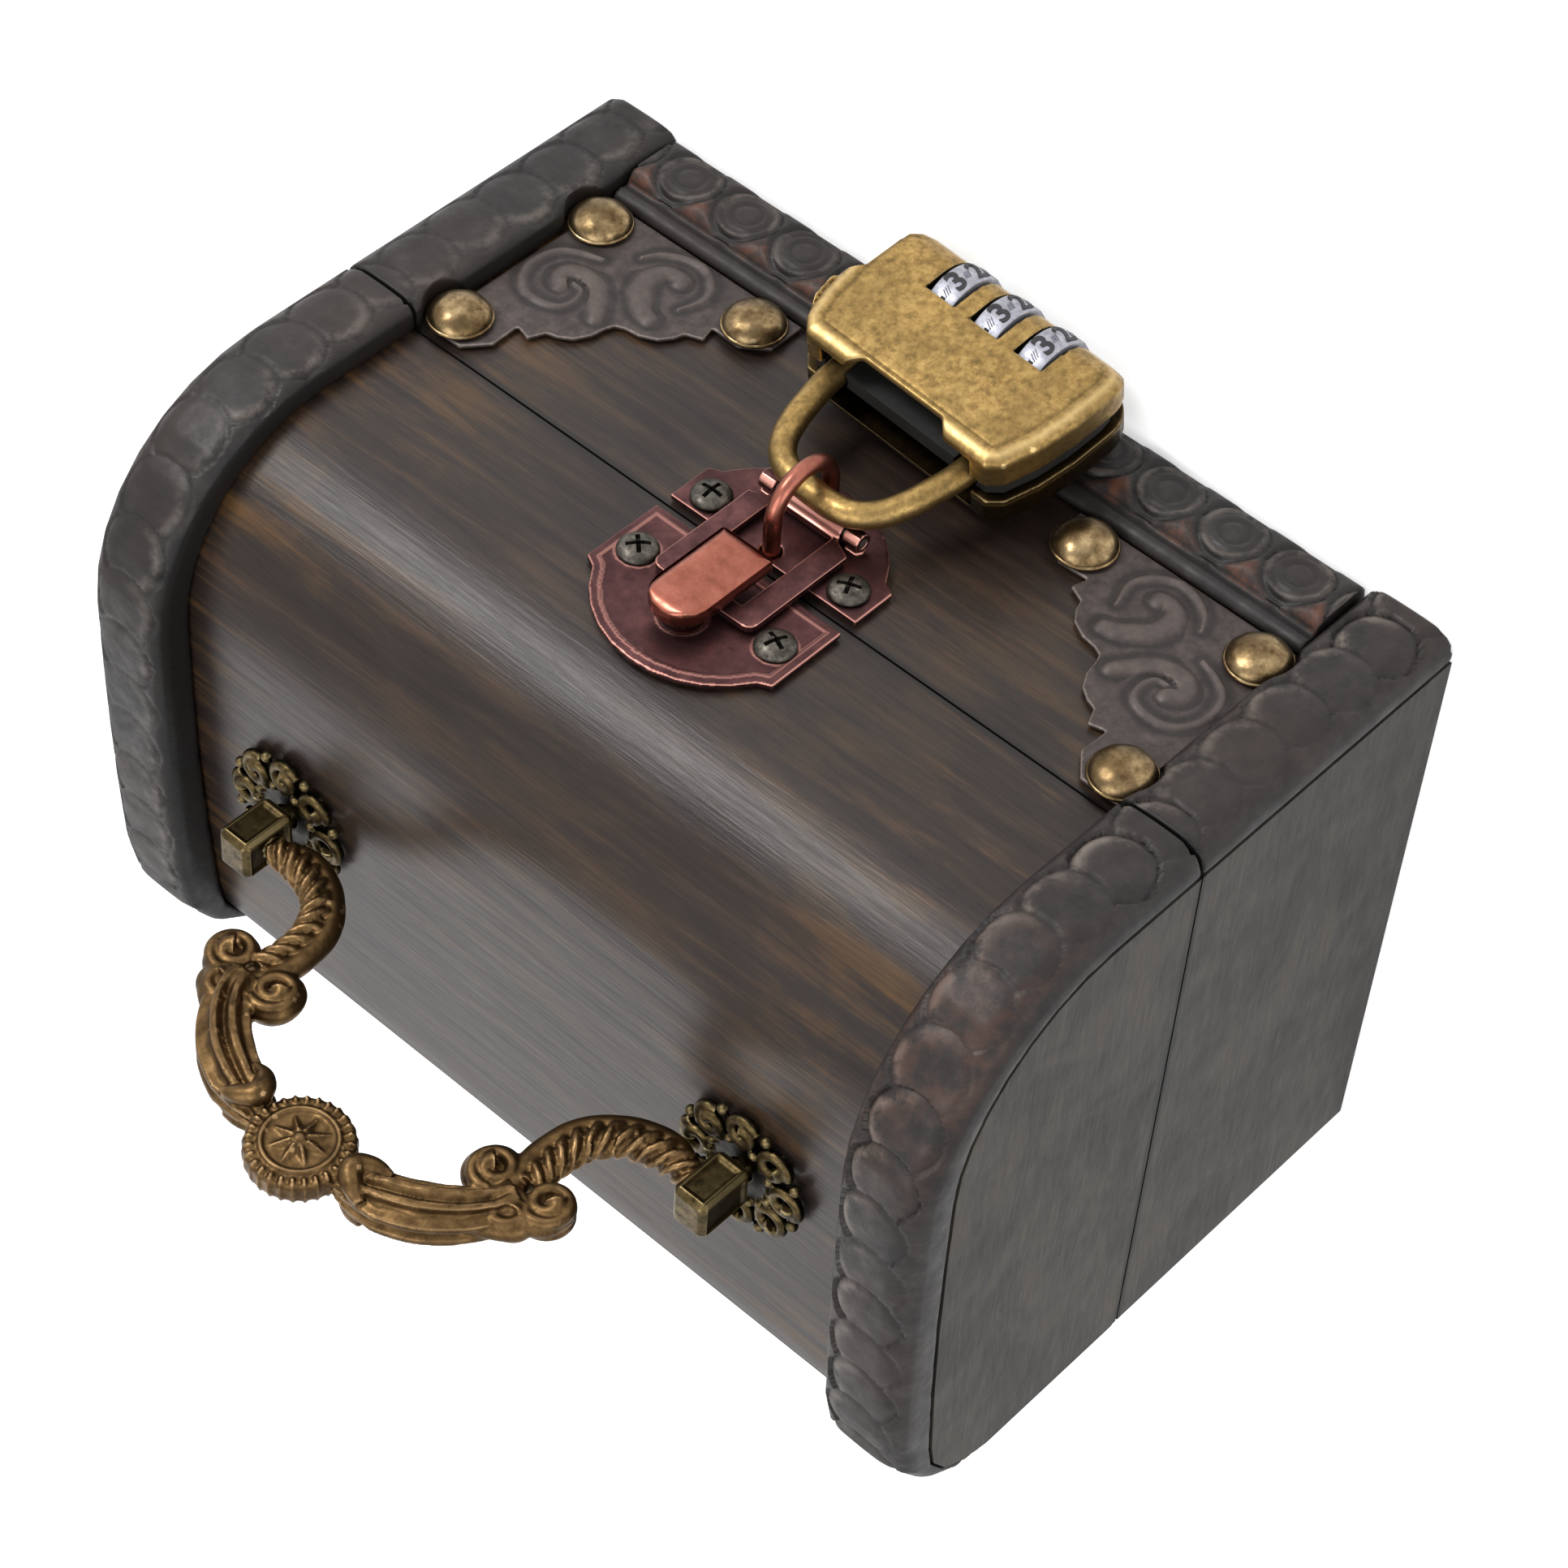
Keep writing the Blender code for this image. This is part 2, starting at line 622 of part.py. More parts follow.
def eared_outline(side_length, height, down):
    # A half round plate with two pointed ears, standing on its straight edge.
    half = HASP_WIDTH / 2
    shoulder = half - PLATE_EAR
    sag = height - side_length - PLATE_EAR / 2
    radius = (shoulder ** 2 + sag ** 2) / (2 * sag)
    spread = math.degrees(math.asin(shoulder / radius))
    points = [(half, 0), (half, side_length)]
    points += arc((0, height - radius), radius, 90 - spread, 90 + spread, ARC_STEPS + 2)
    points += [(-half, side_length), (-half, 0)]
    if down:
        return [(x, -z) for x, z in reversed(points)]
    return points


def moved(outline, x, z):
    return [(x + across, z + up) for across, up in outline]


def screws(names, places, head_y, head, facing, material):
    # Each head is low and domed, with a plain shank behind it.
    radius, height, shank_radius, shank_length = head
    profile = [(0, height), (radius * 0.6, height * 0.9), (radius * 0.92, height * 0.5), (radius, 0),
               (shank_radius, 0), (shank_radius, -shank_length), (0, -shank_length)]
    return [turned(name, profile, Matrix.Translation((x, head_y, z)) @ facing, material)
            for name, (x, z) in zip(names, places)]


def make_hasp(copper, steel, front, board, lid_axis):
    spread = HASP_WIDTH / 2 - HASP_SCREW_INSET
    middle_y = PLATE_BACK_Y - HASP_PLATE_THICKNESS / 2
    screw = (SCREW_HEAD_RADIUS, SCREW_HEAD_HEIGHT, SCREW_SHANK_RADIUS,
             SCREW_SHANK_LENGTH + HASP_PLATE_THICKNESS)
    clear_radius = SCREW_SHANK_RADIUS + FIT_GAP

    lid_places = [(HASP_X + side * spread, LID_PLATE_BASE + LID_SCREW_RISE) for side in (-1, 1)]
    outline = moved(eared_outline(LID_PLATE_SIDE, LID_PLATE_HEIGHT, False), HASP_X, LID_PLATE_BASE)
    holes = [circle(place, clear_radius) for place in lid_places]
    holes.append(circle((HASP_X, LID_PLATE_BASE + CATCH_HOLE_RISE), CATCH_HOLE_RADIUS))
    plate = sheet("hasp_lid_plate", [outline] + holes, HASP_PLATE_THICKNESS, FACING_FRONT,
                  (0, middle_y, 0), copper)
    hang(plate, lid_axis)
    names = ["hasp_lid_screw_" + word for word in ("left", "right")]
    for head in screws(names, lid_places, HASP_FACE_Y - FIT_GAP, screw, FACING_FRONT, steel):
        hang(head, lid_axis)

    body_places = [(HASP_X + side * spread, BODY_PLATE_TOP - BODY_SCREW_DROP) for side in (-1, 1)]
    feet = [(HASP_X, STAPLE_TOP_Z), (HASP_X, STAPLE_TOP_Z - 2 * STAPLE_RADIUS)]
    foot_radius = STAPLE_WIRE_RADIUS + FIT_GAP
    outline = moved(eared_outline(BODY_PLATE_SIDE, BODY_PLATE_HEIGHT, True), HASP_X, BODY_PLATE_TOP)
    holes = [circle(place, clear_radius) for place in body_places]
    holes += [circle(place, foot_radius) for place in feet]
    base = sheet("hasp_body_plate", [outline] + holes, HASP_PLATE_THICKNESS, FACING_FRONT,
                 (0, middle_y, 0), copper)
    names = ["hasp_body_screw_" + word for word in ("left", "right")]
    screws(names, body_places, HASP_FACE_Y - FIT_GAP, screw, FACING_FRONT, steel)

    for board_object, places, name in ((front, body_places, "body"), (board, lid_places, "lid")):
        bm = bmesh.new()
        for x, z in places:
            rod_into(bm, (x, PANEL_Y - OVERRUN, z), (x, PANEL_Y + SCREW_SHANK_LENGTH, z), clear_radius)
        cut(board_object, mesh_object(name + "_screw_drill", bm, None, cutters), "screw holes")
    bm = bmesh.new()
    for x, z in feet:
        rod_into(bm, (x, PANEL_Y - OVERRUN, z), (x, PANEL_Y + STAPLE_ROOT + FIT_GAP, z), foot_radius)
    cut(front, mesh_object("staple_drill", bm, None, cutters), "staple holes")
    return base


def make_staple(copper):
    root_y = PANEL_Y + STAPLE_ROOT
    points = [(HASP_X, root_y, STAPLE_TOP_Z)]
    for y_out, z_up in arc((0, 0), STAPLE_RADIUS, 90, 270, 2 * ARC_STEPS - 2):
        points.append((HASP_X, STAPLE_BEND_Y + y_out, STAPLE_MID_Z + z_up))
    points.append((HASP_X, root_y, STAPLE_TOP_Z - 2 * STAPLE_RADIUS))
    shade(tube("staple", points, STAPLE_WIRE_RADIUS, [1] * len(points), copper), 50)


def knuckle_into(bm, x_from, x_to, y, z, radius):
    rod_into(bm, (x_from, y, z), (x_to, y, z), radius)


def make_strap(copper, steel, base, strap_axis):
    half = STRAP_WIDTH / 2
    foot = STRAP_PIVOT_Z + KNUCKLE_RADIUS + FIT_GAP
    window_foot = STRAP_PIVOT_Z + STRAP_FOOT_RAIL
    top = STRAP_PIVOT_Z + STRAP_LENGTH
    knuckle_half = half * KNUCKLE_SHARE
    tongue = [(-knuckle_half, STRAP_PIVOT_Z), (knuckle_half, STRAP_PIVOT_Z), (knuckle_half, foot),
              (half, foot + STRAP_CORNER)]
    tongue += arc((half - STRAP_CORNER, top - STRAP_CORNER), STRAP_CORNER, 0, 90, 3)
    tongue += arc((STRAP_CORNER - half, top - STRAP_CORNER), STRAP_CORNER, 90, 180, 3)
    tongue += [(-half, foot + STRAP_CORNER), (-knuckle_half, foot)]
    inner = half - STRAP_RAIL
    window = [(-inner, window_foot), (inner, window_foot), (inner, top - STRAP_TOP_RAIL),
              (-inner, top - STRAP_TOP_RAIL)]
    middle_y = (STRAP_BACK_Y + STRAP_FRONT_Y) / 2
    strap = sheet("hasp_strap", [moved(tongue, HASP_X, 0), moved(window, HASP_X, 0)],
                  STRAP_THICKNESS, FACING_FRONT, (0, middle_y, 0), copper)
    curl = bmesh.new()
    knuckle_into(curl, HASP_X - knuckle_half, HASP_X + knuckle_half, STRAP_PIVOT_Y, STRAP_PIVOT_Z,
                 KNUCKLE_RADIUS)
    fuse(strap, mesh_object("strap_curl", curl, None, cutters), "curl")
    bore = bmesh.new()
    bore_radius = STRAP_PIN_RADIUS + PIN_CLEARANCE
    knuckle_into(bore, HASP_X - half - OVERRUN, HASP_X + half + OVERRUN, STRAP_PIVOT_Y, STRAP_PIVOT_Z,
                 bore_radius)
    pin_bore = mesh_object("strap_pin_bore", bore, None, cutters)
    cut(strap, pin_bore, "pin bore")
    hang(strap, strap_axis)

    # The lower plate carries one short knuckle at each side of the strap's own.
    ears = bmesh.new()
    inner_x = knuckle_half + FIT_GAP
    for side in (-1, 1):
        near, far = sorted((HASP_X + side * inner_x, HASP_X + side * half))
        knuckle_into(ears, near, far, STRAP_PIVOT_Y, STRAP_PIVOT_Z, KNUCKLE_RADIUS)
    ear_object = mesh_object("plate_knuckles", ears, None, cutters)
    webs = bmesh.new()
    for side in (-1, 1):
        near, far = sorted((HASP_X + side * (inner_x + FIT_GAP), HASP_X + side * (half - FIT_GAP)))
        box_into(webs, (near, STRAP_PIVOT_Y, STRAP_PIVOT_Z - KNUCKLE_RADIUS / 2),
                 (far, HASP_FACE_Y + HASP_PLATE_THICKNESS / 2, STRAP_PIVOT_Z + KNUCKLE_RADIUS / 2))
    web_object = mesh_object("plate_webs", webs, None, cutters)
    fuse(base, web_object, "webs")
    fuse(base, ear_object, "knuckles")
    cut(base, pin_bore, "pin bore")
    pin = rod_object("hasp_pin", (HASP_X - half, STRAP_PIVOT_Y, STRAP_PIVOT_Z),
                     (HASP_X + half, STRAP_PIVOT_Y, STRAP_PIVOT_Z), STRAP_PIN_RADIUS, steel)
    shade(pin)
    return strap


def make_thumb_tab(copper, strap_axis):
    half = TAB_WIDTH / 2
    tip = STRAP_PIVOT_Z + TAB_TIP_RISE
    foot = tip - TAB_LENGTH
    outline = [(-half, foot), (half, foot)] + arc((0, tip - half), half, 0, 180, ARC_STEPS)
    back_y = STRAP_FRONT_Y - FIT_GAP - TAB_STAND_OFF
    middle_y = back_y - TAB_THICKNESS / 2
    tab = sheet("thumb_tab", [moved(outline, HASP_X, 0)], TAB_THICKNESS, FACING_FRONT,
                (0, middle_y, 0), copper)
    round_edges(tab, TAB_ROUNDING, 2)
    strap_top = STRAP_PIVOT_Z + STRAP_LENGTH
    root = bmesh.new()
    box_into(root, (HASP_X - half / 2, middle_y, strap_top - STRAP_TOP_RAIL),
             (HASP_X + half / 2, STRAP_FRONT_Y - FIT_GAP, strap_top))
    fuse(tab, mesh_object("tab_root", root, None, cutters), "root")
    catch = bmesh.new()
    catch_z = LID_PLATE_BASE + CATCH_HOLE_RISE
    rod_into(catch, (HASP_X, middle_y, catch_z), (HASP_X, HASP_FACE_Y - FIT_GAP, catch_z), CATCH_RADIUS)
    fuse(tab, mesh_object("tab_catch", catch, None, cutters), "catch")
    hang(tab, strap_axis)


def lock_side(shares, inset):
    half = LOCK_WIDTH / 2 - inset
    top = -SHACKLE_REACH - inset
    length = LOCK_LENGTH - 2 * inset
    side = [(half * across, top - length * along) for across, along in shares]
    return side + arc((side[-1][0] - LOCK_CORNER, top - length + LOCK_CORNER), LOCK_CORNER, 0, -90, 5)


def lock_outline(inset=0.0, front=False):
    # In the padlock's own frame: X across, Z down from the crown of the shackle.
    right = lock_side(LOCK_STEPPED_SHARES if front else LOCK_SIDE_SHARES, inset)
    left = [(-across, along) for across, along in reversed(lock_side(LOCK_SIDE_SHARES, inset))]
    if front:
        notch = SHACKLE_HALF_WIDTH - SHACKLE_RADIUS - LOCK_NOTCH_INSET
        low = -SHACKLE_REACH - LOCK_NOTCH_DEPTH
        recess = [(-notch - LOCK_NOTCH_DEPTH, -SHACKLE_REACH), (-notch, low), (notch, low),
                  (notch + LOCK_NOTCH_DEPTH, -SHACKLE_REACH)]
        return right + left + recess
    return right + left


def make_padlock(brass, black, silver, steel, shackle_axis, lock_axis):
    half_thickness = LOCK_THICKNESS / 2
    core_half = LOCK_CORE_THICKNESS / 2
    shell = half_thickness - core_half - FIT_GAP
    bottom = -SHACKLE_REACH - LOCK_LENGTH
    dial_y = -DIAL_FORWARD
    dial_z = bottom + DIAL_RADIUS - DIAL_PROUD
    dial_x = [(index - (DIAL_COUNT - 1) / 2) * DIAL_PITCH - DIAL_SHIFT for index in range(DIAL_COUNT)]

    legs = bmesh.new()
    leg_end = -SHACKLE_REACH - SHACKLE_LEG_DEPTH - BORE_CLEARANCE
    for side in (-1, 1):
        rod_into(legs, (side * SHACKLE_HALF_WIDTH, 0, leg_end),
                 (side * SHACKLE_HALF_WIDTH, 0, -SHACKLE_REACH + OVERRUN), SHACKLE_RADIUS + BORE_CLEARANCE)
    leg_bores = mesh_object("shackle_bores", legs, None, cutters)
    slots = bmesh.new()
    half_slot = DIAL_WIDTH / 2 + BORE_CLEARANCE
    for x in dial_x:
        rod_into(slots, (x - half_slot, dial_y, dial_z), (x + half_slot, dial_y, dial_z),
                 DIAL_RADIUS + BORE_CLEARANCE, ROUND)
    dial_slots = mesh_object("dial_slots", slots, None, cutters)
    bore_half = DIAL_AXLE_LENGTH / 2 + BORE_CLEARANCE
    axle_bore = rod_object("axle_bore", (-bore_half - DIAL_SHIFT, dial_y, dial_z),
                           (bore_half - DIAL_SHIFT, dial_y, dial_z),
                           DIAL_AXLE_RADIUS + PIN_CLEARANCE, None, cutters)

    # The far end is rounded over from face to face.
    high = -SHACKLE_REACH + OVERRUN
    turn = bottom + LOCK_END_RADIUS
    side_shape = [(half_thickness, high), (-half_thickness, high)]
    side_shape += arc((LOCK_END_RADIUS - half_thickness, turn), LOCK_END_RADIUS, 180, 270, 5)
    side_shape += arc((half_thickness - LOCK_END_RADIUS, turn), LOCK_END_RADIUS, 270, 360, 5)
    envelope = sheet("lock_envelope", [side_shape], LOCK_WIDTH + OVERRUN, FACING_SIDE, (0, 0, 0), None,
                     cutters)

    pieces = []
    for side, word in ((-1, "front"), (1, "back")):
        middle = (0, side * (core_half + FIT_GAP + shell / 2), 0)
        piece = sheet("lock_%s_shell" % word, [lock_outline(0.0, side < 0)], shell, FACING_FRONT,
                      middle, brass)
        round_edges(piece, LOCK_ROUNDING, 2, 30)
        pieces.append(piece)
    pieces.append(sheet("lock_core", [lock_outline(LOCK_CORE_INSET)], LOCK_CORE_THICKNESS, FACING_FRONT,
                        (0, 0, 0), black))
    for piece in pieces:
        keep(piece, envelope, "rounded end")
        cut(piece, leg_bores, "shackle bores")
        cut(piece, dial_slots, "dial slots")
        cut(piece, axle_bore, "axle bore")
        seat(piece, lock_axis)
        shade(piece)
    for holder in (leg_bores, dial_slots, axle_bore, envelope):
        seat(holder, lock_axis)

    hub = DIAL_AXLE_RADIUS + BORE_CLEARANCE
    ring = [(DIAL_RADIUS, DIAL_WIDTH / 2), (DIAL_RADIUS, -DIAL_WIDTH / 2), (hub, -DIAL_WIDTH / 2),
            (hub, DIAL_WIDTH / 2)]
    for index, x in enumerate(dial_x):
        place = Matrix.Translation((x, dial_y, dial_z)) @ FACING_SIDE
        seat(turned("dial_%d" % (index + 1), ring, place, silver, ROUND, True), lock_axis)
    axle_half = DIAL_AXLE_LENGTH / 2
    axle = rod_object("dial_axle", (-axle_half - DIAL_SHIFT, dial_y, dial_z),
                      (axle_half - DIAL_SHIFT, dial_y, dial_z), DIAL_AXLE_RADIUS, steel)
    seat(axle, lock_axis)

    leg_z = -SHACKLE_REACH - SHACKLE_LEG_DEPTH
    right = [(SHACKLE_HALF_WIDTH, 0, leg_z)]
    for share_x, share_z in SHACKLE_SHARES:
        right.append((SHACKLE_HALF_WIDTH * share_x, 0, -SHACKLE_REACH * (1 - share_z)))
    left = [(-x, y, z) for x, y, z in reversed(right)]
    shackle = tube("shackle", right + left, SHACKLE_RADIUS, [1] * len(right + left), brass, 2)
    shade(shackle, 50)
    seat(shackle, shackle_axis)


def rosette_outline(x):
    points = []
    steps = ROSETTE_LOBES * 4
    for step in range(steps):
        turn = math.tau * step / steps
        radius = ROSETTE_RADIUS * (1 - ROSETTE_LOBE_SHARE * (1 - math.cos(turn * ROSETTE_LOBES)))
        points.append((x + radius * math.cos(turn), HANDLE_Y + radius * math.sin(turn)))
    return points


def make_handle_mounts(bronze, steel, board, lid_axis):
    nut_top = LID_BOARD_HEIGHT - LID_WALL - LID_CROWN_DROP / 4 - FIT_GAP
    drill = bmesh.new()
    for side, word in ((-1, "left"), (1, "right")):
        x = side * POST_X
        hole = circle((x, HANDLE_Y), STUD_RADIUS + FIT_GAP)
        rosette = sheet("handle_rosette_" + word, [rosette_outline(x), hole], ROSETTE_THICKNESS, FACING_UP,
                        (0, 0, ROSETTE_BASE_Z + ROSETTE_THICKNESS / 2), bronze)
        hang(rosette, lid_axis)
        low = (x - POST_WIDTH / 2, HANDLE_Y - POST_DEPTH / 2, POST_BASE_Z)
        high = (x + POST_WIDTH / 2, HANDLE_Y + POST_DEPTH / 2, POST_BASE_Z + POST_HEIGHT)
        post = box_object("handle_post_" + word, low, high, bronze)
        round_edges(post, POST_ROUNDING, 1)
        stud = rod_object("stud_" + word, (x, HANDLE_Y, nut_top - NUT_THICKNESS - STUD_RADIUS),
                          (x, HANDLE_Y, POST_BASE_Z + POST_ROUNDING * 2), STUD_RADIUS, None, cutters)
        fuse(post, stud, "stud")
        inner = x - side * POST_WIDTH / 2
        socket = rod_object("pin_socket_" + word, (inner - side * OVERRUN, HANDLE_Y, BAIL_AXIS_Z),
                            (inner + side * (BAIL_PIN_LENGTH + FIT_GAP), HANDLE_Y, BAIL_AXIS_Z),
                            BAIL_PIN_RADIUS + PIN_CLEARANCE, None, cutters)
        cut(post, socket, "pin socket")
        shade(post)
        hang(post, lid_axis)
        rod_into(drill, (x, HANDLE_Y, nut_top - OVERRUN), (x, HANDLE_Y, LID_CREST_HEIGHT),
                 STUD_RADIUS + FIT_GAP)
        nut = rod_object("handle_nut_" + word, (x, HANDLE_Y, nut_top - NUT_THICKNESS),
                         (x, HANDLE_Y, nut_top), NUT_RADIUS, steel, None, NUT_SIDES)
        thread = rod_object("nut_bore_" + word, (x, HANDLE_Y, nut_top - NUT_THICKNESS - OVERRUN),
                            (x, HANDLE_Y, nut_top + OVERRUN), STUD_RADIUS + PIN_CLEARANCE, None, cutters)
        cut(nut, thread, "thread")
        hang(nut, lid_axis)
    cut(board, mesh_object("stud_drill", drill, None, cutters), "stud holes")


def make_bail(bronze, bail_axis):
    right = [(BAIL_HALF_SPAN * x, 0, BAIL_RISE * z) for x, z, _ in BAIL_SHARES]
    widths = [share for _, _, share in BAIL_SHARES]
    left = [(-x, y, z) for x, y, z in reversed(right[:-1])]
    bail = tube("handle_bail", right + left, BAIL_RADIUS, widths + widths[-2::-1], bronze, 3)
    pins = bmesh.new()
    for side in (-1, 1):
        start = side * (BAIL_HALF_SPAN - BAIL_PIN_LENGTH)
        end = side * (BAIL_HALF_SPAN + FIT_GAP + BAIL_PIN_LENGTH)
        rod_into(pins, (start, 0, 0), (end, 0, 0), BAIL_PIN_RADIUS)
    bosses = bmesh.new()
    for side in (-1, 1):
        for carrier, share_x, share_z, share_r in SCROLL_SHARES:
            bar_x, _, bar_z = right[carrier]
            x = side * (bar_x + share_x * SCROLL_RADIUS)
            z = bar_z + share_z * SCROLL_RADIUS
            radius = share_r * SCROLL_RADIUS
            rod_into(bosses, (x, -SCROLL_THICKNESS / 2, z), (x, SCROLL_THICKNESS / 2, z), radius)
    medallion = bmesh.new()
    rod_into(medallion, (0, -MEDALLION_THICKNESS / 2, MEDALLION_RISE),
             (0, MEDALLION_THICKNESS / 2, MEDALLION_RISE), MEDALLION_RADIUS, ROUND)
    for name, bm in (("bail_pins", pins), ("bail_scrolls", bosses), ("bail_medallion", medallion)):
        piece = mesh_object(name, bm, None, cutters)
        seat(piece, bail_axis)
        fuse(bail, piece, name, True)
    shade(bail, 50)
    seat(bail, bail_axis)


def hinge_leaf(name, x, up, middle_knuckle, material):
    # A flat leaf on the back of the box, with its knuckles on the hinge axis.
    half = HINGE_WIDTH / 2
    third = HINGE_WIDTH / 6
    start = HINGE_Z + up * (HINGE_KNUCKLE_RADIUS + FIT_GAP)
    end = HINGE_Z + up * HINGE_LEAF_HEIGHT
    low_z, high_z = sorted((start, end))
    back = BACK_Y + FIT_GAP
    leaf = box_object(name, (x - half, back, low_z), (x + half, back + HINGE_LEAF_THICKNESS, high_z), material)
    spans = [(-third + FIT_GAP / 2, third - FIT_GAP / 2)] if middle_knuckle else [
        (-half, -third - FIT_GAP / 2), (third + FIT_GAP / 2, half)]
    webs = bmesh.new()
    curls = bmesh.new()
    web_low, web_high = sorted((HINGE_Z, start + up * FIT_GAP))
    for near, far in spans:
        box_into(webs, (x + near, back, web_low), (x + far, back + HINGE_LEAF_THICKNESS, web_high))
        knuckle_into(curls, x + near, x + far, HINGE_Y, HINGE_Z, HINGE_KNUCKLE_RADIUS)
    web_object = mesh_object(name + "_webs", webs, None, cutters)
    curl_object = mesh_object(name + "_curls", curls, None, cutters)
    bore = rod_object(name + "_bore", (x - half - OVERRUN, HINGE_Y, HINGE_Z),
                      (x + half + OVERRUN, HINGE_Y, HINGE_Z), HINGE_PIN_RADIUS + PIN_CLEARANCE, None, cutters)
    fuse(leaf, web_object, "webs")
    fuse(leaf, curl_object, "curls")
    cut(leaf, bore, "pin bore")
    return leaf


def hinge_screw_places(x, up):
    spread = HINGE_WIDTH / 3
    z = HINGE_Z + up * (HINGE_LEAF_HEIGHT + HINGE_KNUCKLE_RADIUS) / 2
    return [(x - spread, z), (x + spread, z)]


def make_hinges(brass, steel, back, board, lid_axis):
    facing_back = Matrix(((-1, 0, 0), (0, 0, 1), (0, 1, 0))).to_4x4()
    screw = (HINGE_SCREW_RADIUS, HINGE_SCREW_HEIGHT, HINGE_SHANK_RADIUS,
             HINGE_SHANK_LENGTH + HINGE_LEAF_THICKNESS)
    head_y = BACK_Y + 2 * FIT_GAP + HINGE_LEAF_THICKNESS
    for up, carrier, word in ((-1, back, "body"), (1, board, "lid")):
        places = []
        for side, hand in ((-1, "left"), (1, "right")):
            x = side * HINGE_X
            leaf = hinge_leaf("hinge_%s_leaf_%s" % (word, hand), x, up, up > 0, brass)
            spots = hinge_screw_places(x, up)
            drill = bmesh.new()
            for spot_x, spot_z in spots:
                rod_into(drill, (spot_x, BACK_Y - HINGE_SHANK_LENGTH - FIT_GAP, spot_z),
                         (spot_x, head_y + OVERRUN, spot_z), HINGE_SHANK_RADIUS + FIT_GAP)
            drill_object = mesh_object("hinge_drill_%s_%s" % (word, hand), drill, None, cutters)
            cut(leaf, drill_object, "screw holes")
            cut(carrier, drill_object, "hinge holes " + hand)
            places += spots
            half = HINGE_WIDTH / 2
            if up > 0:
                hang(leaf, lid_axis)
            else:
                shade(rod_object("hinge_pin_" + hand, (x - half, HINGE_Y, HINGE_Z),
                                 (x + half, HINGE_Y, HINGE_Z), HINGE_PIN_RADIUS, steel))
        names = ["hinge_%s_screw_%d" % (word, index + 1) for index in range(len(places))]
        for head in screws(names, places, head_y, screw, facing_back, brass):
            if up > 0:
                hang(head, lid_axis)


clear_scene()
parts = new_collection("keepsake_box")
cutters = new_collection("cutters")

walnut = new_material("walnut_stain", (0.075, 0.055, 0.045), 0.5, 0.0)
dark_walnut = new_material("dark_moulding_stain", (0.045, 0.032, 0.028), 0.4, 0.0)
antique_bronze = new_material("antique_bronze", (0.22, 0.15, 0.08), 0.4, 1.0)
antique_brass = new_material("antique_brass", (0.42, 0.32, 0.15), 0.38, 1.0)
red_copper = new_material("red_copper", (0.40, 0.20, 0.15), 0.36, 1.0)
dark_steel = new_material("dark_steel", (0.16, 0.17, 0.16), 0.4, 1.0)
dial_silver = new_material("dial_silver", (0.62, 0.62, 0.64), 0.4, 0.6)
lock_black = new_material("lock_black", (0.02, 0.02, 0.02), 0.5, 0.2)

lid_hinge = add_empty("lid_hinge_axis", (0, HINGE_Y, HINGE_Z))
bail_hinge = add_empty("bail_axis", (0, HANDLE_Y, BAIL_AXIS_Z), parent=lid_hinge)
strap_hinge = add_empty("strap_axis", (HASP_X, STRAP_PIVOT_Y, STRAP_PIVOT_Z))
hang_turn = Matrix.Rotation(-PADLOCK_TILT, 4, "X") @ Matrix.Rotation(PADLOCK_LEAN, 4, "Y")
shackle_hinge = add_empty("shackle_axis", (HASP_X, CROWN_Y, CROWN_Z), hang_turn)
lock_slide = add_empty("lock_axis", (HASP_X, CROWN_Y, CROWN_Z), hang_turn, shackle_hinge)

front_board, back_board = make_body(walnut, dark_walnut)
make_base_moulding(dark_walnut)
lid_board = make_lid(walnut, dark_walnut, lid_hinge)
make_corner_plates(antique_bronze, antique_brass, front_board)
hasp_base = make_hasp(red_copper, dark_steel, front_board, lid_board, lid_hinge)
make_staple(red_copper)
make_strap(red_copper, dark_steel, hasp_base, strap_hinge)
make_thumb_tab(red_copper, strap_hinge)
make_padlock(antique_brass, lock_black, dial_silver, dark_steel, shackle_hinge, lock_slide)
make_handle_mounts(antique_bronze, dark_steel, lid_board, lid_hinge)
make_bail(antique_bronze, bail_hinge)
make_hinges(antique_brass, dark_steel, back_board, lid_board, lid_hinge)
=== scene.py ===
# Looks of the wooden keepsake box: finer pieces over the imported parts, then finishes, light and camera.
import math

import bpy
from mathutils import Matrix, Vector
from mathutils.kdtree import KDTree


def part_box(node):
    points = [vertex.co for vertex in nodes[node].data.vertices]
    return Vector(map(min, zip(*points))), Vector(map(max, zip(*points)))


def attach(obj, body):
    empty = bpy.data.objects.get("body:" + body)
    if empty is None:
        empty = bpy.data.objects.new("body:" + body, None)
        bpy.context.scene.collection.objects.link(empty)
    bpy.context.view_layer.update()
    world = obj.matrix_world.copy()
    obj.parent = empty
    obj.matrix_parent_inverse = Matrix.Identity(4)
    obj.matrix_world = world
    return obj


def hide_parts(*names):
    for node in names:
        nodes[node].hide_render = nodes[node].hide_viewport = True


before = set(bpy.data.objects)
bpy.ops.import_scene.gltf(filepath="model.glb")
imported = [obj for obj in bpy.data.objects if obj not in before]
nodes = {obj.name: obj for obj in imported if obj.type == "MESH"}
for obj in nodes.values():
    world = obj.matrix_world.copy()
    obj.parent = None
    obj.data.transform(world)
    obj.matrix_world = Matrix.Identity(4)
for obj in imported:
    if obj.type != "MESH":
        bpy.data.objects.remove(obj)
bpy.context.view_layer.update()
scene = bpy.context.scene
quarterTurn = math.pi / 2
print("frame loaded:", len(nodes), "nodes")


def pickNone():
    bpy.ops.object.select_all(action="DESELECT")


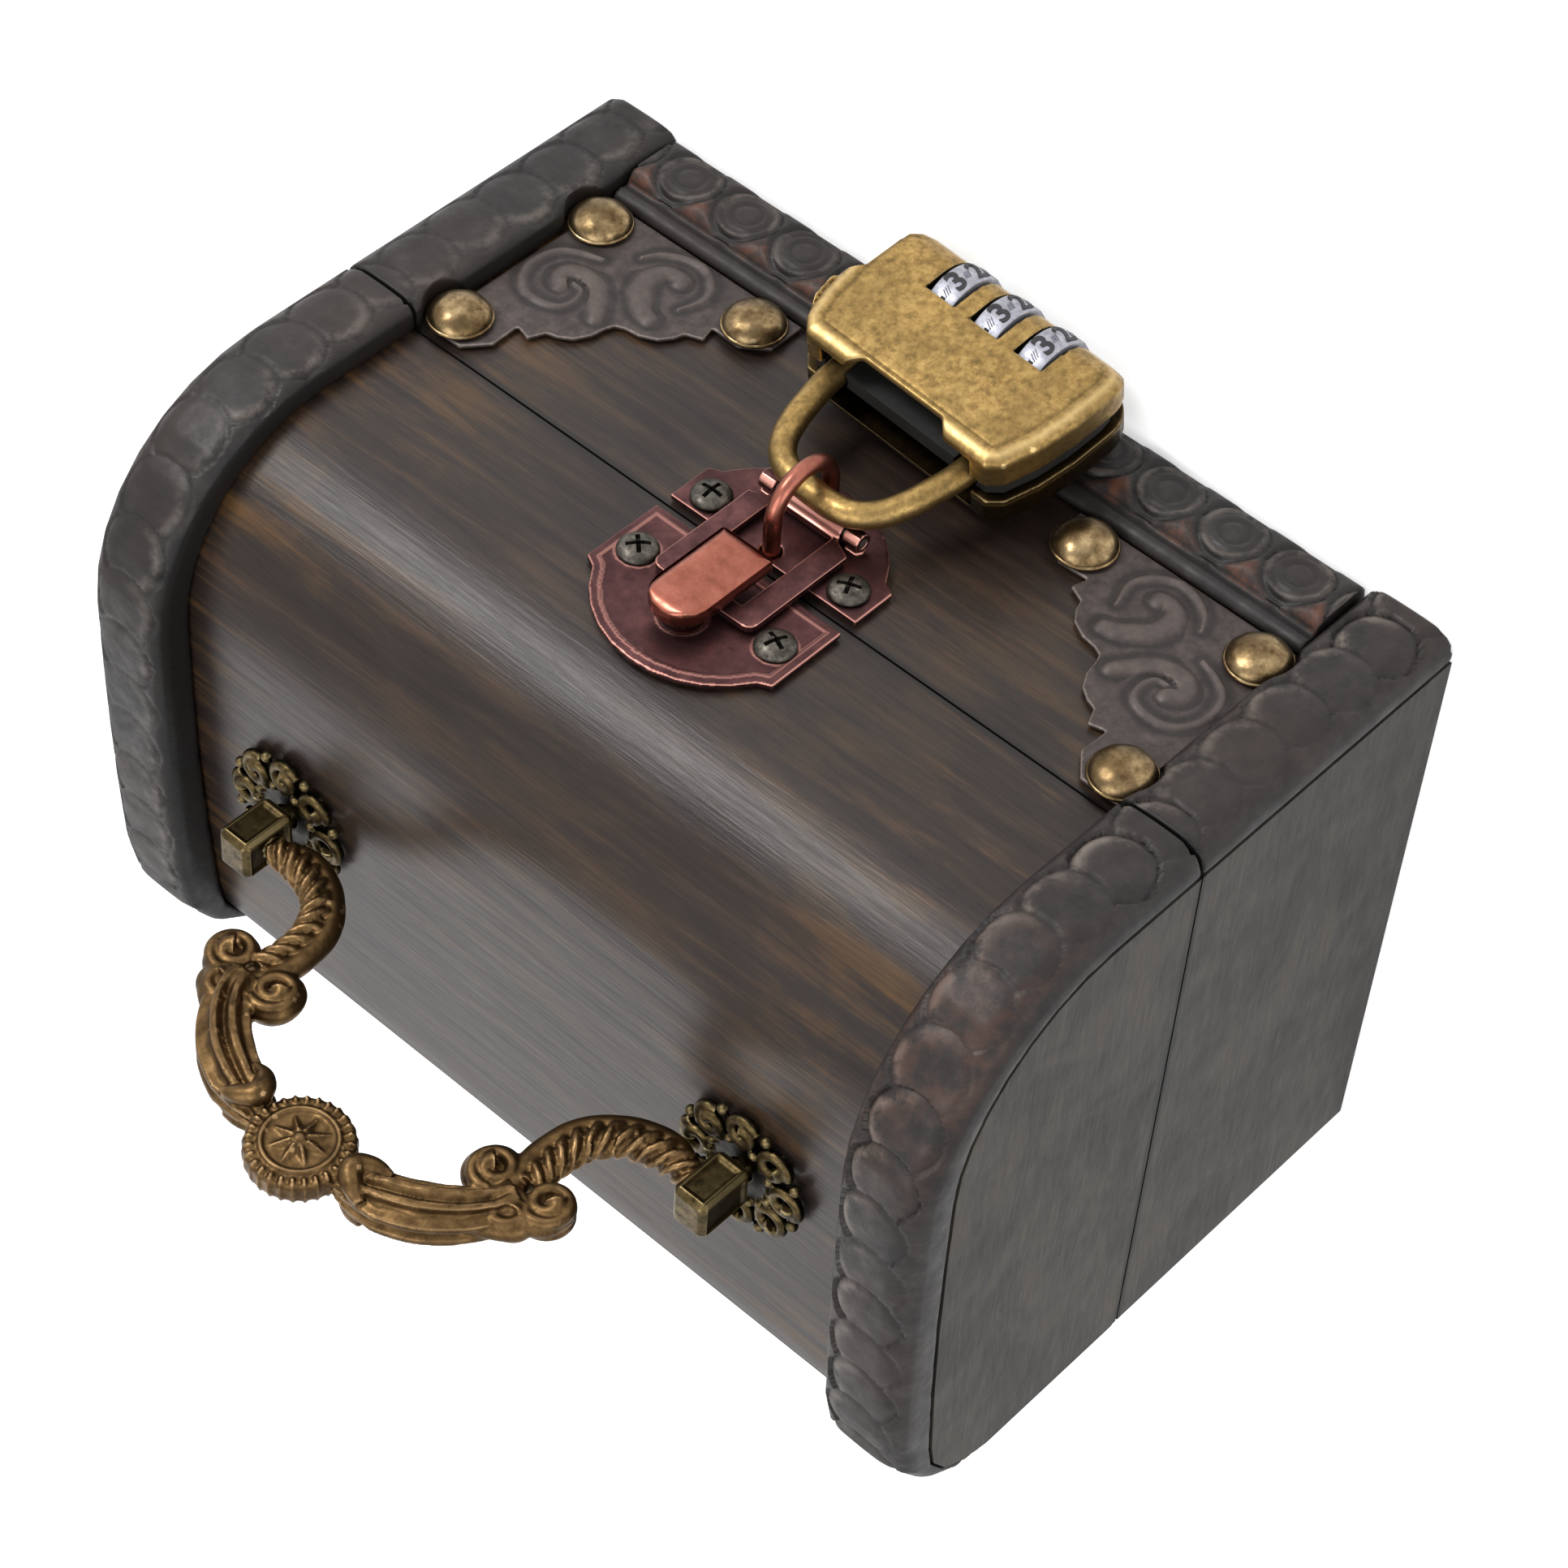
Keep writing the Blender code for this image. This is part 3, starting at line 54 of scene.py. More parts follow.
def pickOnly(*pieces):
    pickNone()
    for piece in pieces:
        piece.select_set(True)
    bpy.context.view_layer.objects.active = pieces[0]


def clamp(value):
    return max(0.0, min(1.0, value))


def bell(away, width):
    # 1 on a line and fading to nothing within about two widths of it
    return math.exp(-(away / width) ** 2)


def colourOf(value):
    # the linear colour of an sRGB hex value, or a plain grey from a number
    if not isinstance(value, str):
        return (value, value, value, 1)
    shares = [int(value[place:place + 2], 16) / 255 for place in (0, 2, 4)]
    return (*(share / 12.92 if share <= 0.04045 else ((share + 0.055) / 1.055) ** 2.4
              for share in shares), 1)


def outlet(source):
    return source.outputs[0] if hasattr(source, "outputs") else source


def addNode(tree, kind, settings=None, links=None):
    # settings fill sockets and options, "stops" fill a colour ramp, links bring in nodes or sockets
    node = tree.nodes.new("ShaderNode" + kind)
    for name, value in (settings or {}).items():
        if name == "stops":
            while len(node.color_ramp.elements) < len(value):
                node.color_ramp.elements.new(0.5)
            for element, (place, colour) in zip(node.color_ramp.elements, value):
                element.position = place
                element.color = colourOf(colour)
        elif isinstance(name, int) or name in node.inputs:
            node.inputs[name].default_value = colourOf(value) if isinstance(value, str) else value
        else:
            setattr(node, name, value)
    for name, source in (links or {}).items():
        tree.links.new(outlet(source), node.inputs[name])
    return node


def newMaterial(name, noises):
    # a material and its noise patterns, each with its sizes along the three axes
    material = bpy.data.materials.new(name)
    material.use_nodes = True
    tree = material.node_tree
    place = addNode(tree, "TexCoord").outputs["Object"]
    patterns = []
    for sizes, detail, roughness, twist in noises:
        stretched = addNode(tree, "Mapping", {"Scale": [1 / size for size in sizes]}, {"Vector": place})
        patterns.append(addNode(tree, "TexNoise", {
            "Scale": 1.0, "Detail": detail, "Roughness": roughness, "Distortion": twist},
            {"Vector": stretched}))
    return material, tree, patterns


def endMaterial(tree, look, pattern, places, coats, grit, reliefs):
    # the pattern's three colours under their coats, a gloss that the grit breaks up, and the relief
    shader = tree.nodes["Principled BSDF"]
    colour = addNode(tree, "ValToRGB", {"stops": [
        (place, look[name]) for place, name in zip(places, ("dark", "middle", "light"))]}, {0: pattern})
    for settings, links in coats:
        colour = addNode(tree, "Mix", {"data_type": "RGBA", **settings}, {6: colour, **links}).outputs[2]
    gloss = addNode(tree, "ValToRGB", {"stops": [
        (0.3, look["roughness"] + look["dullness"]), (0.7, look["roughness"])]}, {0: grit})
    below = {}
    for height, strength, distance in reliefs:
        bump = addNode(tree, "Bump", {"Strength": strength, "Distance": distance},
                       {"Height": height, **below})
        below = {"Normal": bump}
    for name, source in (("Base Color", colour), ("Roughness", gloss), ("Normal", bump)):
        tree.links.new(outlet(source), shader.inputs[name])
    for name, key in (("Metallic", "metallic"), ("Specular IOR Level", "shine")):
        if key in look:
            shader.inputs[name].default_value = look[key]


# Pine under a brushed stain and a thin satin varnish. Sizes are in metres: streaks a few millimetres
# wide, and fibres of 0.4 mm, drawn coarser than real ones so that they show
woodLook = {
    "grainAxis": 0, "grainLength": 0.03, "grainWidth": 0.0026, "fibreLength": 0.011,
    "fibreWidth": 0.0004, "patchSize": 0.022, "dark": "19120f", "middle": "2c211c", "light": "45352b",
    "cloud": "2e2724", "cloudShare": 0.55, "worn": "5e4322", "wearFrom": 0.03, "wearTo": 0.053,
    "wear": 0.48, "wearEverywhere": 0.19, "dirt": "0e0b0a", "seamHeight": 0.04415, "seamNear": 0.0003,
    "seamFar": 0.0011, "seamShare": 0.85, "fibreContrast": 0.34, "fibreRelief": 0.3,
    "fibreDepth": 0.00012, "streakRelief": 0.25, "streakDepth": 0.0003, "roughness": 0.3,
    "dullness": 0.12, "shine": 0.3}


def stainedWood(name, changes):
    look = {**woodLook, **changes}
    grain, fibre = [look["grainWidth"]] * 3, [look["fibreWidth"]] * 3
    grain[look["grainAxis"]], fibre[look["grainAxis"]] = look["grainLength"], look["fibreLength"]
    material, tree, (streaks, fibres, patches) = newMaterial(name, [
        (grain, 5.0, 0.65, 0.4), (fibre, 3.0, 0.7, 0.0), ([look["patchSize"]] * 3, 5.0, 0.6, 0.6)])
    cloud = addNode(tree, "ValToRGB", {"stops": [(0.4, 0.0), (0.62, look["cloudShare"])]}, {0: patches})
    # the stain is rubbed thin towards the mouldings and in ragged spots along the grain
    axes = addNode(tree, "SeparateXYZ", links={0: addNode(tree, "TexCoord").outputs["Object"]}).outputs
    sideways = addNode(tree, "Math", {"operation": "ABSOLUTE"}, {0: axes[0]})
    nearEnds = addNode(tree, "MapRange", {1: look["wearFrom"], 2: look["wearTo"], 3: 0.0,
                                          4: look["wear"]}, {0: sideways})
    anywhere = addNode(tree, "Math", {"operation": "ADD", 1: look["wearEverywhere"]}, {0: nearEnds})
    spots = addNode(tree, "Math", {"operation": "MULTIPLY"}, {0: patches, 1: streaks})
    ragged = addNode(tree, "ValToRGB", {"stops": [(0.24, 0.0), (0.36, 1.0)]}, {0: spots})
    wear = addNode(tree, "Math", {"operation": "MULTIPLY", "use_clamp": True}, {0: anywhere, 1: ragged})
    shade = addNode(tree, "ValToRGB", {"stops": [
        (0.3, 1 - look["fibreContrast"]), (0.5, 0.95), (0.72, 1 + look["fibreContrast"] * 0.6)]},
        {0: fibres})
    # the wood is darker in a band along the lid's seam
    fromSeam = addNode(tree, "Math", {"operation": "SUBTRACT", 1: look["seamHeight"]}, {0: axes[2]})
    fromSeam = addNode(tree, "Math", {"operation": "ABSOLUTE"}, {0: fromSeam})
    seam = addNode(tree, "MapRange", {1: look["seamNear"], 2: look["seamFar"], 3: look["seamShare"],
                                      4: 0.0}, {0: fromSeam})
    coats = [({7: look["cloud"]}, {0: cloud}), ({7: look["worn"]}, {0: wear}),
             ({"blend_type": "MULTIPLY", 0: 1.0}, {7: shade}), ({7: look["dirt"]}, {0: seam})]
    endMaterial(tree, look, streaks, (0.3, 0.52, 0.74), coats, fibres,
                [(fibres, look["fibreRelief"], look["fibreDepth"]),
                 (streaks, look["streakRelief"], look["streakDepth"])])
    return material


def stampedWood(name, look):
    material, tree, (mottle, broad) = newMaterial(name, [
        ([look["mottleSize"]] * 3, 6.0, 0.65, 0.0), ([look["patchSize"]] * 3, 3.0, 0.5, 0.0)])
    warm = addNode(tree, "ValToRGB", {"stops": [(0.44, 0.0), (0.64, look["warmShare"])]}, {0: broad})
    ragged = addNode(tree, "ValToRGB", {"stops": [(0.42, 0.1), (0.58, 1.0)]}, {0: mottle})
    coats = [({7: look["warm"]}, {0: warm})]
    # the last coat, the crest, paints pale highlights on the scales
    for mask, broken in (("rub", True), ("groove", False), ("crest", True)):
        amount = addNode(tree, "Attribute", {"attribute_name": mask}).outputs["Fac"]
        if broken:
            amount = addNode(tree, "Math", {"operation": "MULTIPLY"}, {0: amount, 1: ragged})
        coats.append(({7: look[mask]}, {0: amount}))
    endMaterial(tree, look, mottle, (0.32, 0.55, 0.78), coats, mottle,
                [(mottle, look["relief"], look["reliefDepth"])])
    return material


# each metal's values stand in this order, and sizes are in metres
metalColumns = ("dark", "middle", "light", "oxide", "bright", "mottleSize", "patchSize", "hollow", "edge",
                "edgeShare", "cloudShare", "roughness", "pitting", "metallic")
metalLook = {"dullness": 0.18, "pitDepth": 0.00015, "fade": 0.06}


def antiqueMetal(name, *values):
    # a dark patina lies in the hollows and bright metal on the edges; two masks add more: painted shade
    # with some grime in the dark coat, wear with painted highlights in the bright coat
    look = {**metalLook, **dict(zip(metalColumns, values))}
    material, tree, (mottle, cloud) = newMaterial(name, [
        ([look["mottleSize"]] * 3, 6.0, 0.7, 0.0), ([look["patchSize"]] * 3, 3.0, 0.5, 0.0)])
    shade = addNode(tree, "ValToRGB", {"stops": [(0.38, look["cloudShare"]), (0.6, 0.0)]}, {0: cloud})
    edge = addNode(tree, "NewGeometry").outputs["Pointiness"]
    coats = [({7: look["dark"]}, {0: shade})]
    # the dark coat from the first mask is partly painted shade, the bright coat from the second partly
    # painted highlight
    for mask, colour, stops in (
            ("grime", "oxide", [(look["hollow"] - look["fade"], 1.0), (look["hollow"], 0.0)]),
            ("polish", "bright", [(look["edge"], 0.0), (look["edge"] + look["fade"], look["edgeShare"])])):
        found = addNode(tree, "ValToRGB", {"stops": stops}, {0: edge})
        drawn = addNode(tree, "Attribute", {"attribute_name": mask}).outputs["Fac"]
        most = addNode(tree, "Math", {"operation": "MAXIMUM"}, {0: found, 1: drawn})
        coats.append(({7: look[colour]}, {0: most}))
    endMaterial(tree, look, mottle, (0.34, 0.5, 0.68), coats, mottle,
                [(mottle, look["pitting"], look["pitDepth"])])
    return material


print("finishes")
# warm brown streaks with worn yellow ends, and a broken satin sheen along the lid's bow
boardWood = stainedWood("brushed walnut stain on pine, lid and front", {})
# the same stain wiped on across the grain: grey, mottled and nearly matt
endWood = stainedWood("brushed grey walnut stain on pine, ends", {
    "grainAxis": 1, "grainLength": 0.02, "grainWidth": 0.005, "fibreLength": 0.006, "fibreWidth": 0.0005,
    "patchSize": 0.012, "dark": "231f1d", "middle": "322e2b", "light": "45403b", "cloud": "3c3b39",
    "cloudShare": 0.9, "worn": "4a4136", "wear": 0.3, "wearEverywhere": 0.2, "dirt": "0e0d0c",
    "fibreContrast": 0.12, "fibreRelief": 0.2, "roughness": 0.5, "shine": 0.2})
# one thin coat without varnish: lighter, drier wood
insideWood = stainedWood("thin stain on pine, inside and back", {
    "grainWidth": 0.003, "patchSize": 0.03, "dark": "2a221e", "middle": "382d26", "light": "483a30",
    "cloud": "35302d", "cloudShare": 0.4, "worn": "5d4830", "wear": 0.5, "wearEverywhere": 0.2,
    "dirt": "100d0b", "fibreContrast": 0.25, "fibreRelief": 0.35, "roughness": 0.52})
# hand-stamped wood under near-black stain: a soft shine painted as pale highlights on the scales, black
# grooves, and red-brown rubs
mouldingWood = stampedWood("stamped moulding, near-black stain", {
    "mottleSize": 0.003, "patchSize": 0.018, "dark": "181615", "middle": "242120", "light": "35312e",
    "warm": "30241f", "warmShare": 0.45, "rub": "5f3928", "groove": "0b0a09", "crest": "756b64",
    "roughness": 0.4, "dullness": 0.18, "relief": 0.5, "reliefDepth": 0.0002, "shine": 0.3})
# a yellow plating gone brown in millimetre spots, bright along the rims, with a painted highlight along the
# front shell's roll
lockBrass = antiqueMetal("antiqued brass plating on a zinc casting, padlock", "6b5836", "947848",
                         "b4975f", "241b10", "d9bd85", 0.0011, 0.006, 0.44, 0.53, 0.8, 0.45, 0.34, 0.3, 1.0)
# worn domes: a clear highlight in the middle of brown clouds
nailBrass = antiqueMetal("antiqued brass, hammered nail domes", "4a3a24", "857051", "b39c74", "241b10",
                         "dcc79b", 0.0022, 0.0045, 0.4, 0.62, 0.3, 0.75, 0.24, 0.25, 1.0)
# old brown bronze, black between the flutes and golden on every ridge
bailBronze = antiqueMetal("antiqued bronze casting, handle", "40311f", "604a2f", "795f3e", "120d08",
                          "b09068", 0.0018, 0.006, 0.48, 0.515, 0.7, 0.4, 0.34, 0.15, 1.0)
# a colder, greener bronze; the near-black gaps are painted shade on the openwork's base
rosetteBronze = antiqueMetal("greenish bronze casting, rosettes and posts", "2c2617", "54462d", "6f6040",
                             "0c0b07", "a8976c", 0.0014, 0.005, 0.475, 0.52, 0.75, 0.5, 0.32, 0.2, 1.0)
# lacquer over thin sheet: half metal, dull grey-brown, with pale cut edges
plateBronze = antiqueMetal("embossed tin sheet under dark lacquer", "322a28", "423936", "524743",
                           "171311", "877b74", 0.0018, 0.008, 0.475, 0.52, 0.7, 0.4, 0.46, 0.2, 0.35)
# dark wine-red faces, with copper showing on every edge
darkCopper = antiqueMetal("antiqued red copper sheet, hasp plates", "3f2a2a", "533738", "674543",
                          "1b0f0e", "cf9587", 0.003, 0.008, 0.45, 0.53, 0.9, 0.4, 0.34, 0.08, 1.0)
# handled copper: smooth, orange-red and shiny
brightCopper = antiqueMetal("rubbed red copper, thumb tab and staple", "7a473a", "95594a", "a96a5a",
                            "2b1510", "dba493", 0.004, 0.006, 0.44, 0.53, 0.8, 0.3, 0.24, 0.03, 1.0)
# dark grey heads with black crosses and a few bare spots
screwSteel = antiqueMetal("blackened steel screws", "34312d", "54504a", "716c63", "070706", "a09a8c",
                          0.0008, 0.003, 0.46, 0.55, 0.7, 0.4, 0.38, 0.1, 1.0)
# a plain near-black that stands for the shade between the shells
lockShadeBlack = antiqueMetal("black enamelled frame inside the padlock", "090909", "0f0f0e", "161514",
                         "040404", "24221f", 0.001, 0.004, 0.4, 0.58, 0.4, 0.2, 0.45, 0.05, 0.0)
# bright, slightly satin wheels
dialSilver = antiqueMetal("nickel plated dial wheels", "85858e", "9a9aa3", "b0b0b8", "55555c", "eeeef4",
                          0.0008, 0.003, 0.42, 0.6, 0.5, 0.2, 0.3, 0.03, 0.6)
# matt black figures and fainter grey marks between them
digitPaint = antiqueMetal("black paint in the stamped digits", "0c0c10", "131318", "1d1d24", "08080a",
                          "22222a", 0.0008, 0.003, 0.3, 0.8, 0.2, 0.1, 0.5, 0.05, 0.0)
tickPaint = antiqueMetal("grey paint in the scale between the digits", "5a5a66", "70707c", "8a8a96",
                         "3a3a42", "9a9aa6", 0.0006, 0.003, 0.3, 0.8, 0.2, 0.2, 0.5, 0.05, 0.0)


def paintNode(node, material):
    nodes[node].data.materials.clear()
    nodes[node].data.materials.append(material)


def applyModifier(piece, kind, settings):
    pickOnly(piece)
    modifier = piece.modifiers.new(kind.lower(), kind)
    for name, value in settings.items():
        setattr(modifier, name, value)
    bpy.ops.object.modifier_apply(modifier=modifier.name)


def softenEdges(piece, width, segments, fromAngle):
    applyModifier(piece, "BEVEL", {"width": width, "segments": segments, "limit_method": "ANGLE",
                                   "angle_limit": math.radians(fromAngle)})


def inEditMode(piece, *steps):
    # runs mesh operators on the whole mesh, each with its settings
    pickOnly(piece)
    bpy.ops.object.mode_set(mode="EDIT")
    bpy.ops.mesh.select_all(action="SELECT")
    for operator, settings in steps:
        operator(**settings)
    bpy.ops.object.mode_set(mode="OBJECT")


def settle(piece):
    # writes the piece's place into its mesh, so its object stands at the origin
    pickOnly(piece)
    bpy.ops.object.transform_apply(location=True, rotation=True, scale=True)


def finishPiece(piece, name, body, material, replaced=(), smooth=40):
    piece.name = name
    settle(piece)
    piece.data.materials.clear()
    piece.data.materials.append(material)
    if smooth:
        pickOnly(piece)
        bpy.ops.object.shade_smooth_by_angle(angle=math.radians(smooth))
    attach(piece, body)
    if replaced:
        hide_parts(*replaced)


def joinPieces(pieces):
    pickOnly(*pieces)
    bpy.ops.object.join()
    return bpy.context.view_layer.objects.active


def addStart(operator, **settings):
    # a primitive to start a piece from, at its size and place, with nothing else selected
    pickNone()
    operator(**settings)
    piece = bpy.context.view_layer.objects.active
    settle(piece)
    return piece


def copyPiece(piece, place):
    # a copy with its own mesh, moved by a matrix
    twin = bpy.data.objects.new(piece.name, piece.data.copy())
    scene.collection.objects.link(twin)
    twin.data.transform(place)
    return twin


def ringOf(piece, count, axis):
    # the piece and its copies, evenly spaced round an axis through the origin
    turns = [Matrix.Rotation(math.tau * index / count, 4, axis) for index in range(1, count)]
    return [piece] + [copyPiece(piece, turn) for turn in turns]


def cutAway(piece, cutter):
    applyModifier(piece, "BOOLEAN", {"operation": "DIFFERENCE", "solver": "EXACT", "object": cutter,
                                     "use_self": True})
    bpy.data.objects.remove(cutter)


def domeHead(radius, height, segments, rings):
    # a shallow dome that stands on the XZ plane with its top towards -Y
    dome = addStart(bpy.ops.mesh.primitive_uv_sphere_add, segments=segments, ring_count=rings, radius=1)
    dome.data.transform(Matrix.Diagonal((radius, height, radius, 1)))
    inEditMode(dome, (bpy.ops.mesh.bisect, {"plane_co": (0, 0, 0), "plane_no": (0, 1, 0),
                                            "clear_outer": True, "use_fill": True}))
    return dome


def copyOfNode(node):
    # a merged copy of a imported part, the start of a finer piece
    piece = bpy.data.objects.new(node + "_fine", nodes[node].data.copy())
    scene.collection.objects.link(piece)
    pickOnly(piece)
    bpy.ops.mesh.customdata_custom_splitnormals_clear()
    inEditMode(piece, (bpy.ops.mesh.remove_doubles, {"threshold": 0.00001}),
               (bpy.ops.mesh.dissolve_limited, {"angle_limit": math.radians(1)}))
    return piece


def recast(piece, grain, smoothing):
    # melts crossing shapes into one skin with soft edges, like a casting
    applyModifier(piece, "REMESH", {"mode": "VOXEL", "voxel_size": grain})
    applyModifier(piece, "SMOOTH", {"factor": 0.5, "iterations": smoothing})
    return piece


def dress(piece, masks, measure):
    # from each point's place and normal, measure gives its shift and the masks that its material reads
    normals = [normal.vector.copy() for normal in piece.data.vertex_normals]
    rows = []
    for vertex, normal in zip(piece.data.vertices, normals):
        shift, *row = measure(vertex.co.copy(), normal)
        vertex.co += shift
        rows.append(row)
    for name, values in zip(masks, zip(*rows)):
        attribute = piece.data.attributes.new(name, "FLOAT", "POINT")
        attribute.data.foreach_set("value", values)


def nearestTree(spots):
    tree = KDTree(len(spots))
    for index, spot in enumerate(spots):
        tree.insert(spot, index)
    tree.balance()
    return tree


def curvePiece(points, radius, radii=None, resolution=6, smoothSteps=8):
    # a rod along a smooth curve through the points
    curve = bpy.data.curves.new("rod", "CURVE")
    curve.dimensions = "3D"
    curve.bevel_depth = radius
    curve.bevel_resolution = resolution
    curve.resolution_u = smoothSteps
    curve.use_fill_caps = True
    spline = curve.splines.new("BEZIER")
    spline.bezier_points.add(len(points) - 1)
    for index, place in enumerate(points):
        knot = spline.bezier_points[index]
        knot.co = place
        knot.handle_left_type = knot.handle_right_type = "AUTO"
        knot.radius = radii[index] if radii else 1.0
    piece = bpy.data.objects.new("rod", curve)
    scene.collection.objects.link(piece)
    pickOnly(piece)
    bpy.ops.object.convert(target="MESH")
    return bpy.context.view_layer.objects.active


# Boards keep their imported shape; the curved lid is merged so that its bow shades smoothly
print("boards")
for material, boards in ((boardWood, ("front_board", "lid_board")),
                         (endWood, ("end_board_left", "end_board_right", "lid_end_left", "lid_end_right")),
                         (insideWood, ("back_board", "bottom_board"))):
    for node in boards:
        paintNode(node, material)
finishPiece(copyOfNode("lid_board"), "lid_board_bowed", "lid", boardWood, ["lid_board"], 30)

# Stamped mouldings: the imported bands, remeshed finely, with overlapping domed discs pressed into the
# crest. The right, far side is pressed more softly and isn't rubbed
stamping = {
    "grain": 0.00036, "discPitch": 0.0078, "discRadius": 0.0050, "rimWidth": 0.0007,
    "rimDepth": 0.00038, "dome": 0.00026, "crestX": 0.0588, "jitter": 0.0004, "force": 0.55,
    "forceSpread": 0.65, "innerShare": 0.75, "innerSlope": 0.35, "crescentAt": 0.76,
    "crescentWidth": 0.0007, "crescentFrom": 0.15, "facingFrom": 0.35, "sharpness": {1: 0.55, -1: 1.0},
    "dirt": [("z", 0.04415, 0.0006, 1.0), ("x", 0.0532, 0.0005, 0.8), ("x", 0.0648, 0.0004, 0.25)],
    "rubRun": 0.036, "rubWidth": 0.016, "rubElsewhere": 0.1, "rubLeast": 0.04, "rubMost": 0.75,
    "rubBroad": 0.35, "grooveShare": 0.8, "crestShare": 0.9, "bodyStart": 0.001}
lidCrest = {"radius": 0.027, "frontY": -0.043, "topZ": 0.0869, "footZ": 0.0443, "backY": 0.0265,
            "backRadius": 0.0175}


def lidRun(place):
    # distance along the lid's crest, from the seam at the front over the bow
    look = lidCrest
    cornerY, cornerZ = look["frontY"] + look["radius"], look["topZ"] - look["radius"]
    if place.z < cornerZ and place.y < cornerY:
        return place.z - look["footZ"]
    run = cornerZ - look["footZ"]
    if place.y < cornerY:
        return run + look["radius"] * math.atan2(place.z - cornerZ, cornerY - place.y)
    run += look["radius"] * math.pi / 2
    if place.y < look["backY"]:
        return run + place.y - cornerY
    bend = math.atan2(place.y - look["backY"], place.z - (look["topZ"] - look["backRadius"]))
    return run + look["backY"] - cornerY + look["backRadius"] * bend


def handStrike(index, salt):
    # a steady number from 0 to 1 for each blow of the stamp
    value = math.sin(index * 12.9898 + salt * 78.233) * 43758.5453
    return value - math.floor(value)


def stampDepth(run, offset, side, look):
    # discs overlap like scales: the last disc pressed over a place decides its depth
    pitch, radius = look["discPitch"], look["discRadius"]
    last = math.ceil(run / pitch + radius / pitch)
    for index in range(last, last - 4, -1):
        along = run - index * pitch - (handStrike(index, side) - 0.5) * 2 * look["jitter"]
        across = offset - (handStrike(index, side + 5) - 0.5) * 2 * look["jitter"]
        reach = math.hypot(along, across)
        if reach < radius:
            force = look["force"] + look["forceSpread"] * handStrike(index, side + 9)
            rim = bell(radius - reach, look["rimWidth"]) * force
            rim *= look["innerShare"] - look["innerSlope"] * across / radius
            crescent = bell(radius * look["crescentAt"] - reach, look["crescentWidth"]) * force
            crescent *= max(0.0, look["crescentFrom"] - across / radius)
            dome = look["dome"] * (reach / radius) ** 2 * force
            return dome + look["rimDepth"] * rim, min(1.0, rim), crescent
    return 0.0, 0.0, 0.0


def stampedSkin(side, onLid, look):
    def measure(place, normal):
        across = side * place.x
        dirt = max(share * bell((place.z if axis == "z" else across) - line, width)
                   for axis, line, width, share in look["dirt"])
        facing = math.hypot(normal.y, normal.z) if onLid else -normal.y
        if facing < look["facingFrom"]:
            return Vector(), 0.0, dirt, 0.0
        run = lidRun(place) if onLid else place.z + look["bodyStart"]
        depth, rim, crescent = stampDepth(run, across - look["crestX"], side, look)
        share = min(1.0, facing / look["facingFrom"] - 1) * look["sharpness"][side]
        corner = bell(run - look["rubRun"], look["rubWidth"]) if onLid else look["rubElsewhere"]
        rub = (look["rubLeast"] + look["rubMost"] * corner) * (look["rubBroad"] + crescent) * share
        groove = max(dirt, min(1.0, look["grooveShare"] * rim * share))
        # the crest mask is a painted highlight on the crescents inside each disc
        return (-normal * depth * share, min(1.0, rub) if side < 0 else 0.0, groove,
                min(1.0, crescent * share * look["crestShare"]))
    return measure


print("mouldings")
woodMasks = ("rub", "groove", "crest")
for side, word in ((-1, "left"), (1, "right")):
    for body in ("body", "lid"):
        node = "%s_moulding_%s" % (body, word)
        strip = recast(copyOfNode(node), stamping["grain"], 2)
        dress(strip, woodMasks, stampedSkin(side, body == "lid", stamping))
        finishPiece(strip, "%s_moulding_stamped_%s" % (body, word), body, mouldingWood,
                    [node], 60)

# The foot moulding: discs with two inner rings, rubbed orange-brown between them and the bead above, and a
# painted highlight just inside each rim
footStamp = {"grain": 0.00036, "pitch": 0.0093, "radius": 0.0043, "rings": (0.0031, 0.0018),
             "centreZ": 0.0046, "ring": 0.00035, "depth": 0.00042, "sink": 0.00012, "crestIn": 0.0008,
             "faceTopZ": 0.0094, "facing": 0.4, "dirtAbove": 0.0002, "dirtWidth": 0.0004, "dirt": 0.75,
             "innerDepth": 0.6, "rimDirt": 0.85, "innerDirt": 0.4, "crest": 0.5, "rubFromZ": 0.0056,
             "rubFade": 0.0016, "rubEdge": 0.0006, "rub": 0.8, "rubLess": 0.65}


def footSkin(place, normal):
    look = footStamp
    dirt = look["dirt"] * bell(place.z - look["faceTopZ"] - look["dirtAbove"], look["dirtWidth"])
    if normal.y > -look["facing"] or place.z > look["faceTopZ"]:
        return Vector(), 0.0, dirt, 0.0
    middle = round(place.x / look["pitch"]) * look["pitch"]
    reach = math.hypot(place.x - middle, place.z - look["centreZ"])
    rim = bell(look["radius"] - reach, look["ring"])
    inner = max(bell(ring - reach, look["ring"]) for ring in look["rings"])
    depth, crest = look["depth"] * max(rim, look["innerDepth"] * inner), 0.0
    if reach < look["radius"]:
        depth += look["sink"]
        # a pale ring just inside the rim is a painted highlight
        crest = look["crest"] * bell(look["radius"] - look["crestIn"] - reach, look["ring"])
    between = 1 - abs(place.x - middle) / (look["pitch"] / 2)
    rub = clamp((reach - look["radius"]) / look["rubEdge"]) * (look["rub"] - look["rubLess"] * between)
    rub *= clamp((place.z - look["rubFromZ"]) / look["rubFade"])
    return -normal * depth, rub, max(dirt, rim * look["rimDirt"], inner * look["innerDirt"]), crest


foot = recast(copyOfNode("base_moulding"), footStamp["grain"], 2)
dress(foot, woodMasks, footSkin)
finishPiece(foot, "foot_moulding_stamped", "body", mouldingWood, ["base_moulding"], 60)

